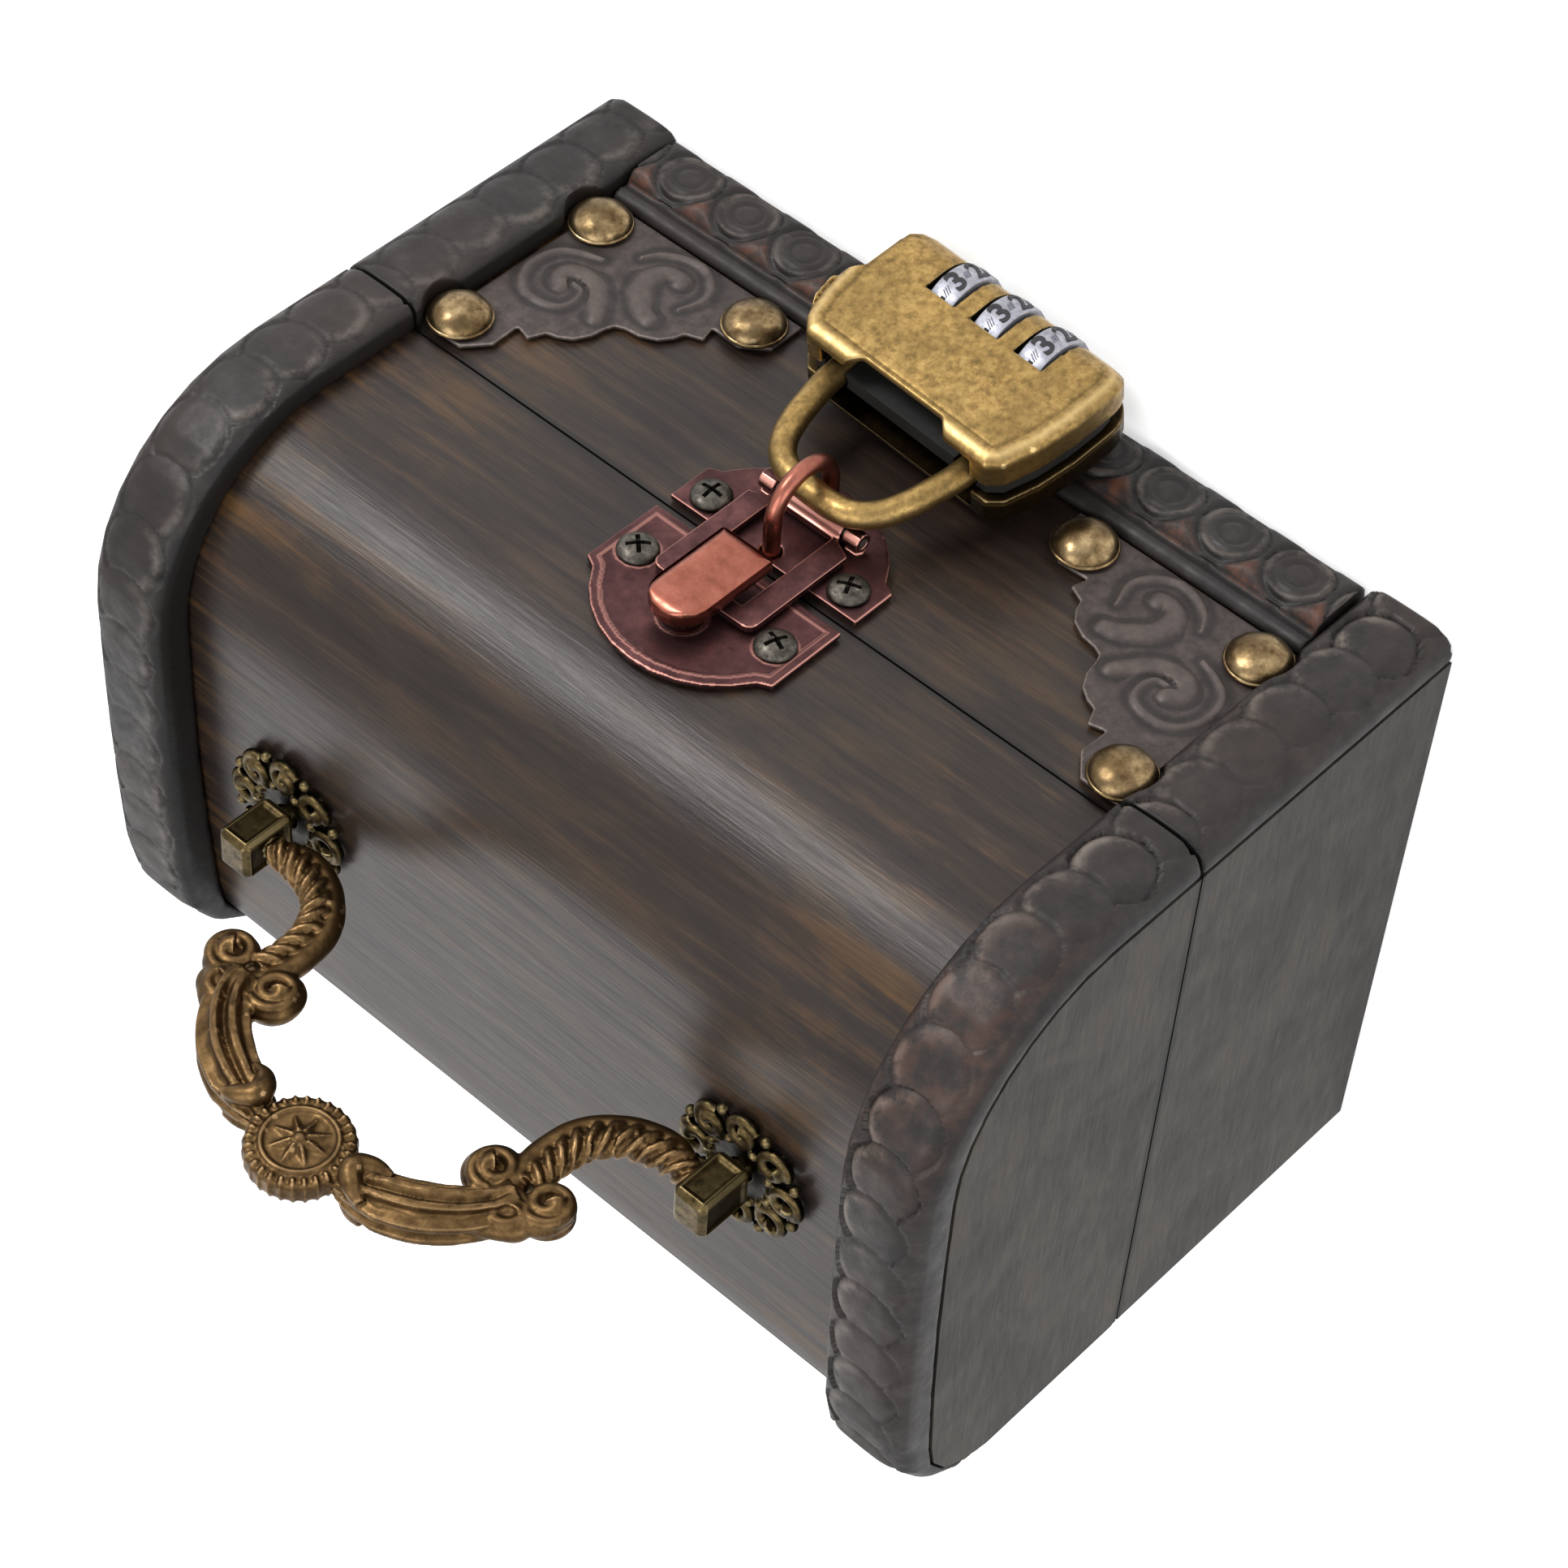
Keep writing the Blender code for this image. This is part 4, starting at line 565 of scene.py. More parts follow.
# Corner plates: thin sheet with scrolls raised from behind. Each ridge has its half width, height and
# route in mm from the plate's inner lower corner, and its share of that width at each point
print("corner plates and nails")
plateLook = {
    "cornerX": 0.0524, "cornerZ": 0.0121, "grain": 0.00017, "routeSteps": 6, "routeGap": 0.2,
    "dirtOut": 0.45, "dirtWidth": 0.55, "dirt": 0.8, "liftPolish": 0.16, "edgePolish": 0.8,
    "flatFrom": 0.85, "edgeFrom": 0.22, "fullness": 0.8,
    "ridges": [
        (1.45, 0.5, [(17.74, 11.99), (16.25, 11.53), (14.82, 10.44), (13.17, 8.76), (12.68, 6.51),
                     (13.40, 4.77), (14.86, 4.12), (15.88, 4.44)],
         [0.8, 0.95, 1.05, 1.1, 1.1, 0.95, 0.8, 1.0]),
        (0.6, 0.3, [(18.94, 8.27), (19.81, 5.22), (19.17, 3.14), (17.63, 1.57), (15.45, 0.80),
                    (12.87, 1.39), (10.79, 2.83), (9.48, 5.03)],
         [0.5, 0.9, 1.1, 1.1, 1.1, 1.0, 0.9, 0.5]),
        (1.45, 0.5, [(13.03, 16.27), (11.29, 14.17), (9.25, 12.44), (6.81, 12.05), (5.24, 12.86),
                     (4.98, 14.31), (6.29, 14.95)],
         [0.8, 1.0, 1.1, 1.1, 1.0, 0.8, 1.0]),
        (0.6, 0.3, [(6.57, 8.36), (4.03, 9.24), (1.71, 11.00), (0.91, 14.27), (1.77, 17.16),
                    (3.66, 18.74), (6.22, 18.96), (8.62, 17.99), (9.22, 15.86), (8.55, 14.15),
                    (6.93, 13.88)],
         [0.5, 0.9, 1.0, 1.1, 1.1, 1.1, 1.0, 0.9, 0.8, 0.7, 0.5])]}


def spotsAlong(points, gap):
    # closely spaced points along a path, each with its share of the way counted in corners
    spots = []
    for corner, (here, there) in enumerate(zip(points, points[1:])):
        count = max(1, int(math.dist(here, there) / gap))
        spots += [(here[0] + (there[0] - here[0]) * index / count,
                   here[1] + (there[1] - here[1]) * index / count, corner + index / count)
                  for index in range(count)]
    return spots


def smoothRoute(points, steps):
    # a soft curve through the points
    route = []
    for index in range(len(points) - 1):
        before, here = points[max(index - 1, 0)], points[index]
        there, after = points[index + 1], points[min(index + 2, len(points) - 1)]
        for step in range(steps):
            share = step / steps
            route.append(tuple(
                0.5 * (2 * here[axis] + (there[axis] - before[axis]) * share
                       + (2 * before[axis] - 5 * here[axis] + 4 * there[axis] - after[axis]) * share ** 2
                       + (3 * here[axis] - before[axis] - 3 * there[axis] + after[axis]) * share ** 3)
                for axis in (0, 1)))
    return route + [points[-1]]


plateSpots = [(number, *spot) for number, ridge in enumerate(plateLook["ridges"])
              for spot in spotsAlong(smoothRoute(ridge[2], plateLook["routeSteps"]),
                                     plateLook["routeGap"])]
plateTree = nearestTree([(x, z, 0) for number, x, z, corner in plateSpots])


def plateSkin(place, normal):
    # raises the sheet over the nearest ridge and paints shade in a dark band beside it
    look = plateLook
    if normal.y >= -look["flatFrom"]:
        return Vector(), 0.0, look["edgePolish"] if normal.y < -look["edgeFrom"] else 0.0
    spot = ((look["cornerX"] - abs(place.x)) * 1000, (place.z - look["cornerZ"]) * 1000, 0)
    index, away = plateTree.find(spot)[1:]
    width, height, path, shares = look["ridges"][plateSpots[index][0]]
    along = plateSpots[index][3] / look["routeSteps"]
    first = min(int(along), len(shares) - 2)
    width *= shares[first] + (shares[first + 1] - shares[first]) * (along - first)
    lift = max(0.0, 1 - (away / width) ** 2) ** look["fullness"]
    # the dark band just outside each ridge is painted shade
    dirt = look["dirt"] * bell(away - width - look["dirtOut"], look["dirtWidth"])
    return Vector((0, -height * lift / 1000, 0)), dirt, look["liftPolish"] * lift


for word in ("left", "right"):
    plate = recast(copyOfNode("corner_plate_" + word), plateLook["grain"], 2)
    dress(plate, ("grime", "polish"), plateSkin)
    finishPiece(plate, "corner_plate_embossed_" + word, "body", plateBronze,
                ["corner_plate_" + word], 60)

# Domed nails: a shallow dome on a thin rolled rim, modelled once; the hammer dents each copy a little
nailLook = {"radius": 0.0041, "dome": 0.96, "height": 0.00255, "rim": 0.00028, "dents": 0.00006,
            "dentFromY": 0.0006, "headY": 0.0024, "shank": 0.0009, "shankLength": 0.0040}
nail = joinPieces([
    domeHead(nailLook["radius"] * nailLook["dome"], nailLook["height"], 40, 24),
    addStart(bpy.ops.mesh.primitive_torus_add, major_radius=nailLook["radius"] - nailLook["rim"],
             minor_radius=nailLook["rim"], major_segments=48, minor_segments=10,
             rotation=(quarterTurn, 0, 0), location=(0, -nailLook["rim"] * 0.6, 0)),
    addStart(bpy.ops.mesh.primitive_cylinder_add, vertices=16, radius=nailLook["shank"],
             depth=nailLook["shankLength"], location=(0, nailLook["shankLength"] / 2, 0),
             rotation=(quarterTurn, 0, 0))])
for count in range(1, 7):
    node = "corner_nail_%d" % count
    low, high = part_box(node)
    seat = Vector(((low.x + high.x) / 2, low.y + nailLook["headY"], (low.z + high.z) / 2))
    domed = copyPiece(nail, Matrix.Translation(seat))
    for vertex in domed.data.vertices:
        swing = math.sin(vertex.co.x * 1900 + count * 2.1) * math.sin(vertex.co.z * 1700 + count)
        if vertex.co.y < seat.y - nailLook["dentFromY"]:
            vertex.co.y += nailLook["dents"] * swing
    finishPiece(domed, "corner_nail_domed_%d" % count, "body", nailBrass, [node])
bpy.data.objects.remove(nail)

# Cross-head screws: low domed heads with a cross recess, modelled once for each size. Each size has its
# radius, height, side of the box, finish, slot and the words that end its nodes' names
print("screws")
screwLook = {"bar": (1.15, 1.5, 0.22), "edge": 0.05, "shank": 0.42, "turns": {"lid": 20, "body": 66},
             "nextTurn": 23,
             "sizes": {
                 "hasp": (0.0025, 0.0011, -1, screwSteel, "dark_steel", ("left", "right")),
                 "hinge": (0.0015, 0.0006, 1, nailBrass, "antique_brass", ("1", "2", "3", "4"))}}


def crossHeadScrew(radius, height, length, look):
    head = domeHead(radius, height, 36, 20)
    along, deep, wide = look["bar"]
    bar = addStart(bpy.ops.mesh.primitive_cube_add, size=1, location=(0, -height, 0),
                   scale=(radius * along, height * deep, radius * wide))
    cutAway(head, joinPieces([bar, copyPiece(bar, Matrix.Rotation(quarterTurn, 4, "Y"))]))
    softenEdges(head, radius * look["edge"], 2, 40)
    return joinPieces([head, addStart(
        bpy.ops.mesh.primitive_cylinder_add, vertices=14, radius=radius * look["shank"], depth=length,
        location=(0, length / 2, 0), rotation=(quarterTurn, 0, 0))])


for kind, (radius, height, outward, material, slotName, words) in screwLook["sizes"].items():
    low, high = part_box("%s_body_screw_%s" % (kind, words[0]))
    screw = crossHeadScrew(radius, height, high.y - low.y - height, screwLook)
    aboutFace = Matrix.Rotation(math.pi if outward > 0 else 0, 4, "Z")
    for group, firstTurn in screwLook["turns"].items():
        for index, word in enumerate(words):
            node = "%s_%s_screw_%s" % (kind, group, word)
            low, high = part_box(node)
            seatY = low.y + height if outward < 0 else high.y - height
            seat = Matrix.Translation(((low.x + high.x) / 2, seatY, (low.z + high.z) / 2))
            turn = Matrix.Rotation(math.radians(firstTurn + screwLook["nextTurn"] * index), 4, "Y")
            finishPiece(copyPiece(screw, seat @ turn @ aboutFace), node.replace("screw", "crosshead"),
                        group, material, [node], 35)
    bpy.data.objects.remove(screw)

# Hasp: sheet plates with rubbed edges, a pressed border on the lid's plate, a cushion tab and a wire staple
print("hasp")
haspLook = {"grain": 0.00016, "edgeFrom": 0.22, "edgeTo": 0.93, "edgePolish": 0.9, "skin": 0.00012,
            "border": 0.0011, "borderWidth": 0.00024, "borderHeight": 0.00012, "borderPolish": 0.3}


def sheetSkin(piece, frontY, look):
    # rubbed edges everywhere, and a border pressed along them in what lies in front of frontY
    def atEdge(normal):
        return look["edgeFrom"] < -normal.y < look["edgeTo"]

    def measure(place, normal):
        polish = look["edgePolish"] if atEdge(normal) else 0.0
        if place.y >= frontY:
            return Vector(), polish
        swell = bell(edges.find((place.x, 0, place.z))[2] - look["border"], look["borderWidth"])
        return (Vector((0, -look["borderHeight"] * swell, 0)),
                look["borderPolish"] if 0.3 < swell < 0.98 else polish)

    edges = nearestTree([(vertex.co.x, 0, vertex.co.z) for vertex in piece.data.vertices
                         if atEdge(vertex.normal)])
    return measure


for node, body, bordered in (("hasp_lid_plate", "lid", True), ("hasp_body_plate", "body", False),
                             ("hasp_strap", "strap", False)):
    plate = recast(copyOfNode(node), haspLook["grain"], 2)
    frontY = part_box(node)[0].y + haspLook["skin"] if bordered else -math.inf
    dress(plate, ("polish",), sheetSkin(plate, frontY, haspLook))
    finishPiece(plate, node + "_soft", body, darkCopper, [node], 60)

tabLook = {"grain": 0.00015, "face": 0.0005, "pillow": 0.0009, "bevel": 0.0016, "back": 0.0014,
           "backReach": 0.0003, "thicker": 0.0009, "sideDirt": 0.45}


def tabSkin(place, normal):
    # a soft cushion face, full in the middle and rolled off towards the edges, on a thicker back
    look, (low, high) = tabLook, tabBox
    if place.y < low.y + look["face"]:
        inside = min(place.x - low.x, high.x - place.x, place.z - low.z, high.z - place.z)
        return [Vector((0, look["pillow"] * max(0.0, 1 - inside / look["bevel"]) ** 2, 0))]
    onBack = abs(place.y - low.y - look["back"]) < look["backReach"]
    return [Vector((0, look["thicker"] if onBack else 0.0, 0))]


# the tab's sides are painted darker as shade
def tabShade(place, normal):
    return Vector(), tabLook["sideDirt"] if abs(normal.y) < 0.5 else 0.0


tab = recast(copyOfNode("thumb_tab"), tabLook["grain"], 5)
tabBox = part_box("thumb_tab")
dress(tab, (), tabSkin)
dress(tab, ("grime",), tabShade)
finishPiece(tab, "thumb_tab_soft", "strap", brightCopper, ["thumb_tab"], 60)

stapleLook = {"wire": 0.00105, "bend": 0.0048, "x": -0.001, "topZ": 0.0419, "bendY": -0.0447,
              "rootY": -0.0366}


def stapleRoute(look):
    # out of the plate, round a half circle and back in below
    middleY, lowZ = (look["rootY"] + look["bendY"]) / 2, look["topZ"] - 2 * look["bend"]
    turns = [math.radians(90 + 15 * step) for step in range(13)]
    bend = [(look["bendY"] + look["bend"] * math.cos(turn),
             look["topZ"] - look["bend"] * (1 - math.sin(turn))) for turn in turns]
    return [(look["x"], y, z) for y, z in [(look["rootY"], look["topZ"]), (middleY, look["topZ"]),
                                           *bend, (middleY, lowZ), (look["rootY"], lowZ)]]


finishPiece(curvePiece(stapleRoute(stapleLook), stapleLook["wire"]), "staple_wire", "body", brightCopper,
            ["staple"], 60)

# Padlock: two cast shells, hollow at the shackle's side, round a near-black frame painted as shade, with
# three dials
print("padlock")
lockLook = {
    "pivot": (-0.001, -0.0447, 0.0353), "lean": -10, "tilt": 3.5, "half": 0.01775, "near": -0.0128,
    "far": -0.0344, "corner": 0.0048, "thick": 0.00575, "grain": 0.00022, "rimGap": 0.0001,
    "sides": [(0.8, 0.0), (0.89, 0.07), (0.96, 0.27), (0.995, 0.5), (1.0, 0.7)],
    "pocketHalf": 0.0118, "pocketDepth": 0.0036, "skin": 0.00095, "above": 0.001, "within": 0.0006,
    "windowRadius": 0.00592, "windowWidth": 0.0044, "margin": 0.0001, "lip": 0.0003,
    "outerFrom": 0.0012, "faceOn": 0.6, "seamY": 0.0016, "seamReach": 0.0004, "seamDirt": 0.35,
    "backDirt": 0.93, "rubbedY": 0.0022, "rubbedWidth": 0.00025, "rubbedShare": 0.8,
    "slot": (-0.0163, 0, -0.0330), "slotReach": 0.0021, "roll": 0.0020, "rollDepth": 0.0012,
    "rollPolish": 0.55, "polishAt": 0.45, "polishWidth": 0.35, "beadIn": 0.0003, "beadWidth": 0.00022,
    "beadDepth": 0.00012, "beadDirt": 0.45}
dialLook = {"radius": 0.0054, "width": 0.0036, "pitch": 0.0069, "shift": 0.0008, "forward": 0.0006,
            "z": -0.0295, "bore": 0.0010, "sunk": 0.00006, "edge": 0.00022, "digitSize": 0.0040,
            "digitDepth": 0.00004, "digitWeight": 0.00009, "firstTurn": -2, "firstDigit": 3,
            "tick": (0.0011, 0.00012, 0.00014), "tickEdge": 0.00003, "tickTurn": 3.5, "tickSlant": 28}
lockPlace = (Matrix.Translation(lockLook["pivot"]) @ Matrix.Rotation(math.radians(lockLook["lean"]), 4, "X")
             @ Matrix.Rotation(math.radians(lockLook["tilt"]), 4, "Y"))
dialMiddles = [step * dialLook["pitch"] - dialLook["shift"] for step in (-1, 0, 1)]
axleY, axleZ = -dialLook["forward"], dialLook["z"]


def lockOutline(look):
    # the casting's outline seen from the front, from its shackle side round to the far end and back
    right = [(look["half"] * across, look["near"] + (look["far"] - look["near"]) * down)
             for across, down in look["sides"]]
    for step in range(7):
        turn = math.radians(15 * step)
        right.append((look["half"] - look["corner"] * (1 - math.cos(turn)),
                      look["far"] + look["corner"] * (1 - math.sin(turn))))
    return right + [(-x, z) for x, z in reversed(right)]


def shellSkin(face, look):
    # painted shade in the pocket and the dial windows, along the seam and over the back shell's sides; a
    # rolled rim with a painted highlight, and a fine bead inside it
    def measure(place, normal):
        x, y, z = place
        edge = lockRim.find((x, z, 0))[2]
        outerShare = clamp((face * y - look["outerFrom"]) / (look["thick"] - look["outerFrom"]))
        top = look["near"] - look["lip"]
        hollow = (abs(x) < look["pocketHalf"] + look["margin"] and top - look["pocketDepth"] < z < top
                  and face * y < look["thick"] - look["skin"] + look["margin"])
        inWindow = (face < 0 and math.hypot(y - axleY, z - axleZ) < look["windowRadius"] + look["margin"]
                    and min(abs(x - middle) for middle in dialMiddles)
                    < look["windowWidth"] / 2 + look["margin"])
        # the pocket inside the shells and the walls of the dial windows are painted dark as shade
        grime, polish, sink = float(hollow or inWindow), 0.0, 0.0
        # a dark line of painted shade along the seam between the shells
        if face * y < look["seamY"] and edge < look["seamReach"] and abs(normal.y) < look["faceOn"]:
            grime = look["seamDirt"]
        # the back shell lies in the shade of the front one: its sides are painted dark as shade, all but a
        # thin line left bright as a painted highlight
        if face > 0 and (normal.y < look["faceOn"] or edge < look["roll"]):
            rubbed = look["rubbedShare"] * bell(y - look["rubbedY"], look["rubbedWidth"])
            grime = max(grime, look["backDirt"] * (1 - rubbed))
        # a dark oval painted on the far corner as the shade of a slot
        if math.dist(place, look["slot"]) < look["slotReach"]:
            grime = 1.0
        if not hollow and edge < look["roll"] and outerShare > 0:
            share = 1 - edge / look["roll"]
            sink = look["rollDepth"] * (1 - math.sqrt(max(0.0, 1 - share * share))) * outerShare
            # a painted highlight runs along the middle of the front shell's roll
            if face < 0:
                polish = max(0.0, 1 - abs(share - look["polishAt"]) / look["polishWidth"])
                polish *= look["rollPolish"]
        if outerShare > 0.9 and abs(normal.y) > look["faceOn"]:
            bead = bell(edge - look["roll"] - look["beadIn"], look["beadWidth"])
            sink += look["beadDepth"] * bead
            grime = max(grime, look["beadDirt"] * bead)
        return Vector((0, -face * sink, 0)), grime, polish
    return measure


lockRim = lockOutline(lockLook)
lockRim = nearestTree([(x, z, 0) for x, z, corner in spotsAlong(lockRim + lockRim[:1], lockLook["rimGap"])])
for node, face in (("lock_front_shell", -1), ("lock_back_shell", 1)):
    shell = copyOfNode(node)
    shell.data.transform(lockPlace.inverted())
    depth, below = lockLook["thick"] - lockLook["skin"], lockLook["near"] - lockLook["pocketDepth"] / 2
    cutAway(shell, addStart(
        bpy.ops.mesh.primitive_cube_add, size=1,
        location=(0, face * (depth / 2 - lockLook["within"]), below + lockLook["above"]),
        scale=(2 * lockLook["pocketHalf"], depth + 2 * lockLook["within"],
               lockLook["pocketDepth"] + 2 * lockLook["above"])))
    for middle in dialMiddles if face < 0 else ():
        cutAway(shell, addStart(
            bpy.ops.mesh.primitive_cylinder_add, vertices=64, radius=lockLook["windowRadius"],
            depth=lockLook["windowWidth"], location=(middle, axleY, axleZ), rotation=(0, quarterTurn, 0)))
    dress(recast(shell, lockLook["grain"], 2), ("grime", "polish"), shellSkin(face, lockLook))
    shell.data.transform(lockPlace)
    finishPiece(shell, node + "_cast", "lock_body", lockBrass, [node], 60)

shackleLook = {"half": 0.0103, "reach": 0.0128, "leg": 0.0085, "radius": 0.00165,
               "bend": [(1.0, 0.0), (0.94, 0.3), (0.86, 0.56), (0.72, 0.8), (0.52, 0.94), (0.3, 0.99)]}
leg = [(shackleLook["half"], 0, -shackleLook["reach"] - shackleLook["leg"])]
leg += [(shackleLook["half"] * across, 0, -shackleLook["reach"] * (1 - up))
        for across, up in shackleLook["bend"]]
shackle = curvePiece(leg + [(0, 0, 0)] + [(-x, y, z) for x, y, z in reversed(leg)], shackleLook["radius"])
shackle.data.transform(lockPlace)
finishPiece(shackle, "shackle_bent", "shackle", lockBrass, ["shackle"], 60)

# One wheel with its numbers and hatched scale, copied for the three dials
onAxle = {"location": (0, axleY, axleZ), "rotation": (0, quarterTurn, 0)}
wheel = addStart(bpy.ops.mesh.primitive_cylinder_add, vertices=60,
                 radius=dialLook["radius"] - dialLook["sunk"], depth=dialLook["width"], **onAxle)
cutAway(wheel, addStart(bpy.ops.mesh.primitive_cylinder_add, vertices=20, radius=dialLook["bore"],
                        depth=dialLook["width"] * 2, **onAxle))
softenEdges(wheel, dialLook["edge"], 2, 50)
tick = addStart(bpy.ops.mesh.primitive_cube_add, size=1, scale=dialLook["tick"])
applyModifier(tick, "BEVEL", {"width": dialLook["tickEdge"], "segments": 1})
digits, ticks = [], []
# text lies in XY facing +Z: right goes to -Z, up to +X, and the face to -Y
upright = Matrix(((0, 1, 0), (0, 0, -1), (-1, 0, 0))).to_4x4()


def onWheel(degrees):
    # the place on the wheel's rim that has turned by so much from the front
    return (Matrix.Translation((0, axleY, axleZ)) @ Matrix.Rotation(math.radians(degrees), 4, "X")
            @ Matrix.Translation((0, -dialLook["radius"], 0)))


for number in range(10):
    # the numbers run round the wheel, with their tops towards +X and a hatched scale between them
    turn = dialLook["firstTurn"] + 36 * (dialLook["firstDigit"] - number)
    pickNone()
    bpy.ops.object.text_add()
    letters = bpy.context.view_layer.objects.active.data
    for name, value in (("body", str(number)), ("size", dialLook["digitSize"]), ("align_x", "CENTER"),
                        ("align_y", "CENTER"), ("extrude", dialLook["digitDepth"]),
                        ("offset", dialLook["digitWeight"]), ("resolution_u", 3)):
        setattr(letters, name, value)
    bpy.ops.object.convert(target="MESH")
    digits.append(bpy.context.view_layer.objects.active)
    digits[-1].data.transform(onWheel(turn) @ upright)
    slant = Matrix.Rotation(math.radians(dialLook["tickSlant"]), 4, "Y")
    ticks += [copyPiece(tick, onWheel(turn + 18 + bar * dialLook["tickTurn"]) @ slant)
              for bar in (-1, 0, 1)]
bpy.data.objects.remove(tick)
dialParts = ((wheel, "wheel", dialSilver, "dial_silver", 35),
             (joinPieces(digits), "numbers", digitPaint, "lock_black", 0),
             (joinPieces(ticks), "scale", tickPaint, "lock_black", 0))
for count, middle in enumerate(dialMiddles, 1):
    node = "dial_%d" % count
    place = lockPlace @ Matrix.Translation((middle, 0, 0))
    for part, word, material, slotName, smooth in dialParts:
        finishPiece(copyPiece(part, place), "%s_%s" % (node, word), node, material,
                    [node] if part is wheel else (), smooth)
for part in dialParts:
    bpy.data.objects.remove(part[0])

# Bail handle: rope-twisted arms with a smooth outer rib, curled scrolls, fluted leaves and a starred
# medallion. Places are shares of the half span and the rise
print("handle")
bailLook = {
    "halfSpan": 0.0337, "rise": 0.0284, "radius": 0.0024, "y": 0.003, "z": 0.0867, "grain": 0.00021,
    "routeSteps": 10, "core": 0.0002, "strands": 4, "ropeTwist": 0.0020, "ropeDepth": 0.00096,
    "flutes": 8, "fluteDepth": 0.0013, "leafStart": 0.12, "leafEnd": 0.78, "leafPoint": 0.14,
    "leafFade": 0.08,
    # across, up and thickness of each arm's rope and leaf, and the share of the radius each has
    "rope": [(1.0, 0.0, 0.9), (0.9, 0.0, 1.0), (0.8, 0.025, 1.0), (0.71, 0.085, 1.0), (0.655, 0.18, 1.0),
             (0.635, 0.28, 0.95), (0.635, 0.39, 0.9), (0.65, 0.49, 0.9)],
    "leaf": [(0.65, 0.57, 1.0), (0.625, 0.66, 1.15), (0.56, 0.765, 1.3), (0.46, 0.865, 1.4),
             (0.35, 0.93, 1.35), (0.25, 0.965, 1.0), (0.15, 0.98, 0.5), (0.0, 0.99, 0.4)],
    "ropeShare": 0.92, "leafShare": 1.08,
    # radius and route of the smooth rib that curls in at the scroll, and of the curls where the leaf begins
    "rods": [
        (0.00145, [(0.97, -0.02, 0.8), (0.88, -0.055, 1), (0.78, -0.035, 1), (0.685, 0.03, 1),
                   (0.60, 0.15, 1), (0.572, 0.29, 1), (0.575, 0.42, 1), (0.61, 0.53, 1), (0.68, 0.61, 1),
                   (0.755, 0.6, 1), (0.80, 0.535, 0.95), (0.785, 0.455, 0.9), (0.735, 0.435, 0.85),
                   (0.705, 0.48, 0.8), (0.73, 0.53, 0.9)]),
        (0.0012, [(0.60, 0.80, 0.6), (0.655, 0.745, 0.9), (0.70, 0.70, 1.1), (0.735, 0.655, 1.2),
                  (0.725, 0.595, 1.1), (0.67, 0.575, 1.0)]),
        (0.0012, [(0.64, 0.66, 0.9), (0.60, 0.58, 1), (0.56, 0.475, 1.1), (0.50, 0.455, 1.15),
                  (0.455, 0.52, 1.1), (0.47, 0.6, 1.0), (0.525, 0.61, 1.1), (0.525, 0.54, 1.2)])],
    # middle, radius, start and sweep in degrees of the spirals that stand proud on both faces
    "curls": [((0.748, 0.505), 0.0031, 150, -560), ((0.665, 0.645), 0.0027, 200, 500),
              ((0.525, 0.53), 0.0029, 60, 520)],
    "curlSteps": 20, "curlShrink": 0.72, "curlProud": 0.0010, "curlRadius": 0.00078, "eye": 0.4,
    # the pointed cuff that closes the leaf against the medallion
    "cuff": [(0.325, 1.03, 0.5), (0.265, 1.0, 1.0), (0.22, 0.945, 1.25), (0.255, 0.88, 1.0),
             (0.325, 0.855, 0.5)],
    "cuffRadius": 0.0012, "cuffProud": 0.0018, "cuffSwell": 0.0004, "pin": 0.0012, "pinLength": 0.0054}


def bailPoint(across, up, sideways=0.0):
    return (bailLook["halfSpan"] * across, sideways, bailLook["rise"] * up)


def bailRod(route, radius, proud=(), **fineness):
    # a rod on the bail's plane, or as far in front of it as proud says for each point
    points = [bailPoint(x, z, side) for (x, z, _), side in zip(route, proud or [0.0] * len(route))]
    return curvePiece(points, radius, [share for _, _, share in route], **fineness)


def carvedArm(route, radius, carve):
    arm = bailRod(route, radius, resolution=12, smoothSteps=28)
    # the nearest place on the route gives each point its run and its turn about the bar
    corners = [Vector(bailPoint(x, z)) for x, z, _ in route]
    line = [here.lerp(there, step / bailLook["routeSteps"]) for here, there in zip(corners, corners[1:])
            for step in range(bailLook["routeSteps"])] + corners[-1:]
    runs = [0.0]
    for here, there in zip(line, line[1:]):
        runs.append(runs[-1] + (there - here).length)
    tree = nearestTree(line)
    for vertex in arm.data.vertices:
        nearest = tree.find(vertex.co)[1]
        ahead = line[min(nearest + 1, len(line) - 1)] - line[max(nearest - 1, 0)]
        ahead.normalize()
        out = vertex.co - line[nearest]
        out -= ahead * out.dot(ahead)
        if out.length >= bailLook["core"]:
            turn = math.atan2(out.y, out.dot(ahead.cross(Vector((0, 1, 0)))))
            vertex.co -= out.normalized() * carve(runs[nearest], turn, runs[-1])
    return arm


def ropeCarve(run, turn, total):
    # strands wound round the arm, each a rounded hump
    phase = (turn * bailLook["strands"] / math.tau + run / bailLook["ropeTwist"]) % 1.0
    return bailLook["ropeDepth"] * (1 - abs(math.sin(math.pi * phase)))


def leafCarve(run, turn, total):
    # deep flutes run along the leaf and die out under its pointed cuff
    look = bailLook
    end = look["leafEnd"] + look["leafPoint"] * abs(abs(turn) / math.pi - 0.5)
    share = min(1.0, run / total / look["leafStart"]) * clamp((end - run / total) / look["leafFade"])
    return look["fluteDepth"] * share * abs(math.cos(turn * look["flutes"] / 2)) ** 4


def curlRoute(middle, radius, start, sweep, look):
    # a spiral that tightens and ends in a small round eye, in the bail's shares
    thickness = [0.8] + [1.0] * 15 + [1.1, 1.3, 1.5, 1.7, 1.9]
    route = []
    for step, thick in enumerate(thickness):
        share = step / look["curlSteps"]
        turn = math.radians(start + sweep * share)
        reach = radius * (1 - look["curlShrink"] * share)
        route.append((middle[0] + reach * math.cos(turn) / look["halfSpan"],
                      middle[1] + reach * math.sin(turn) / look["rise"], thick))
    return route


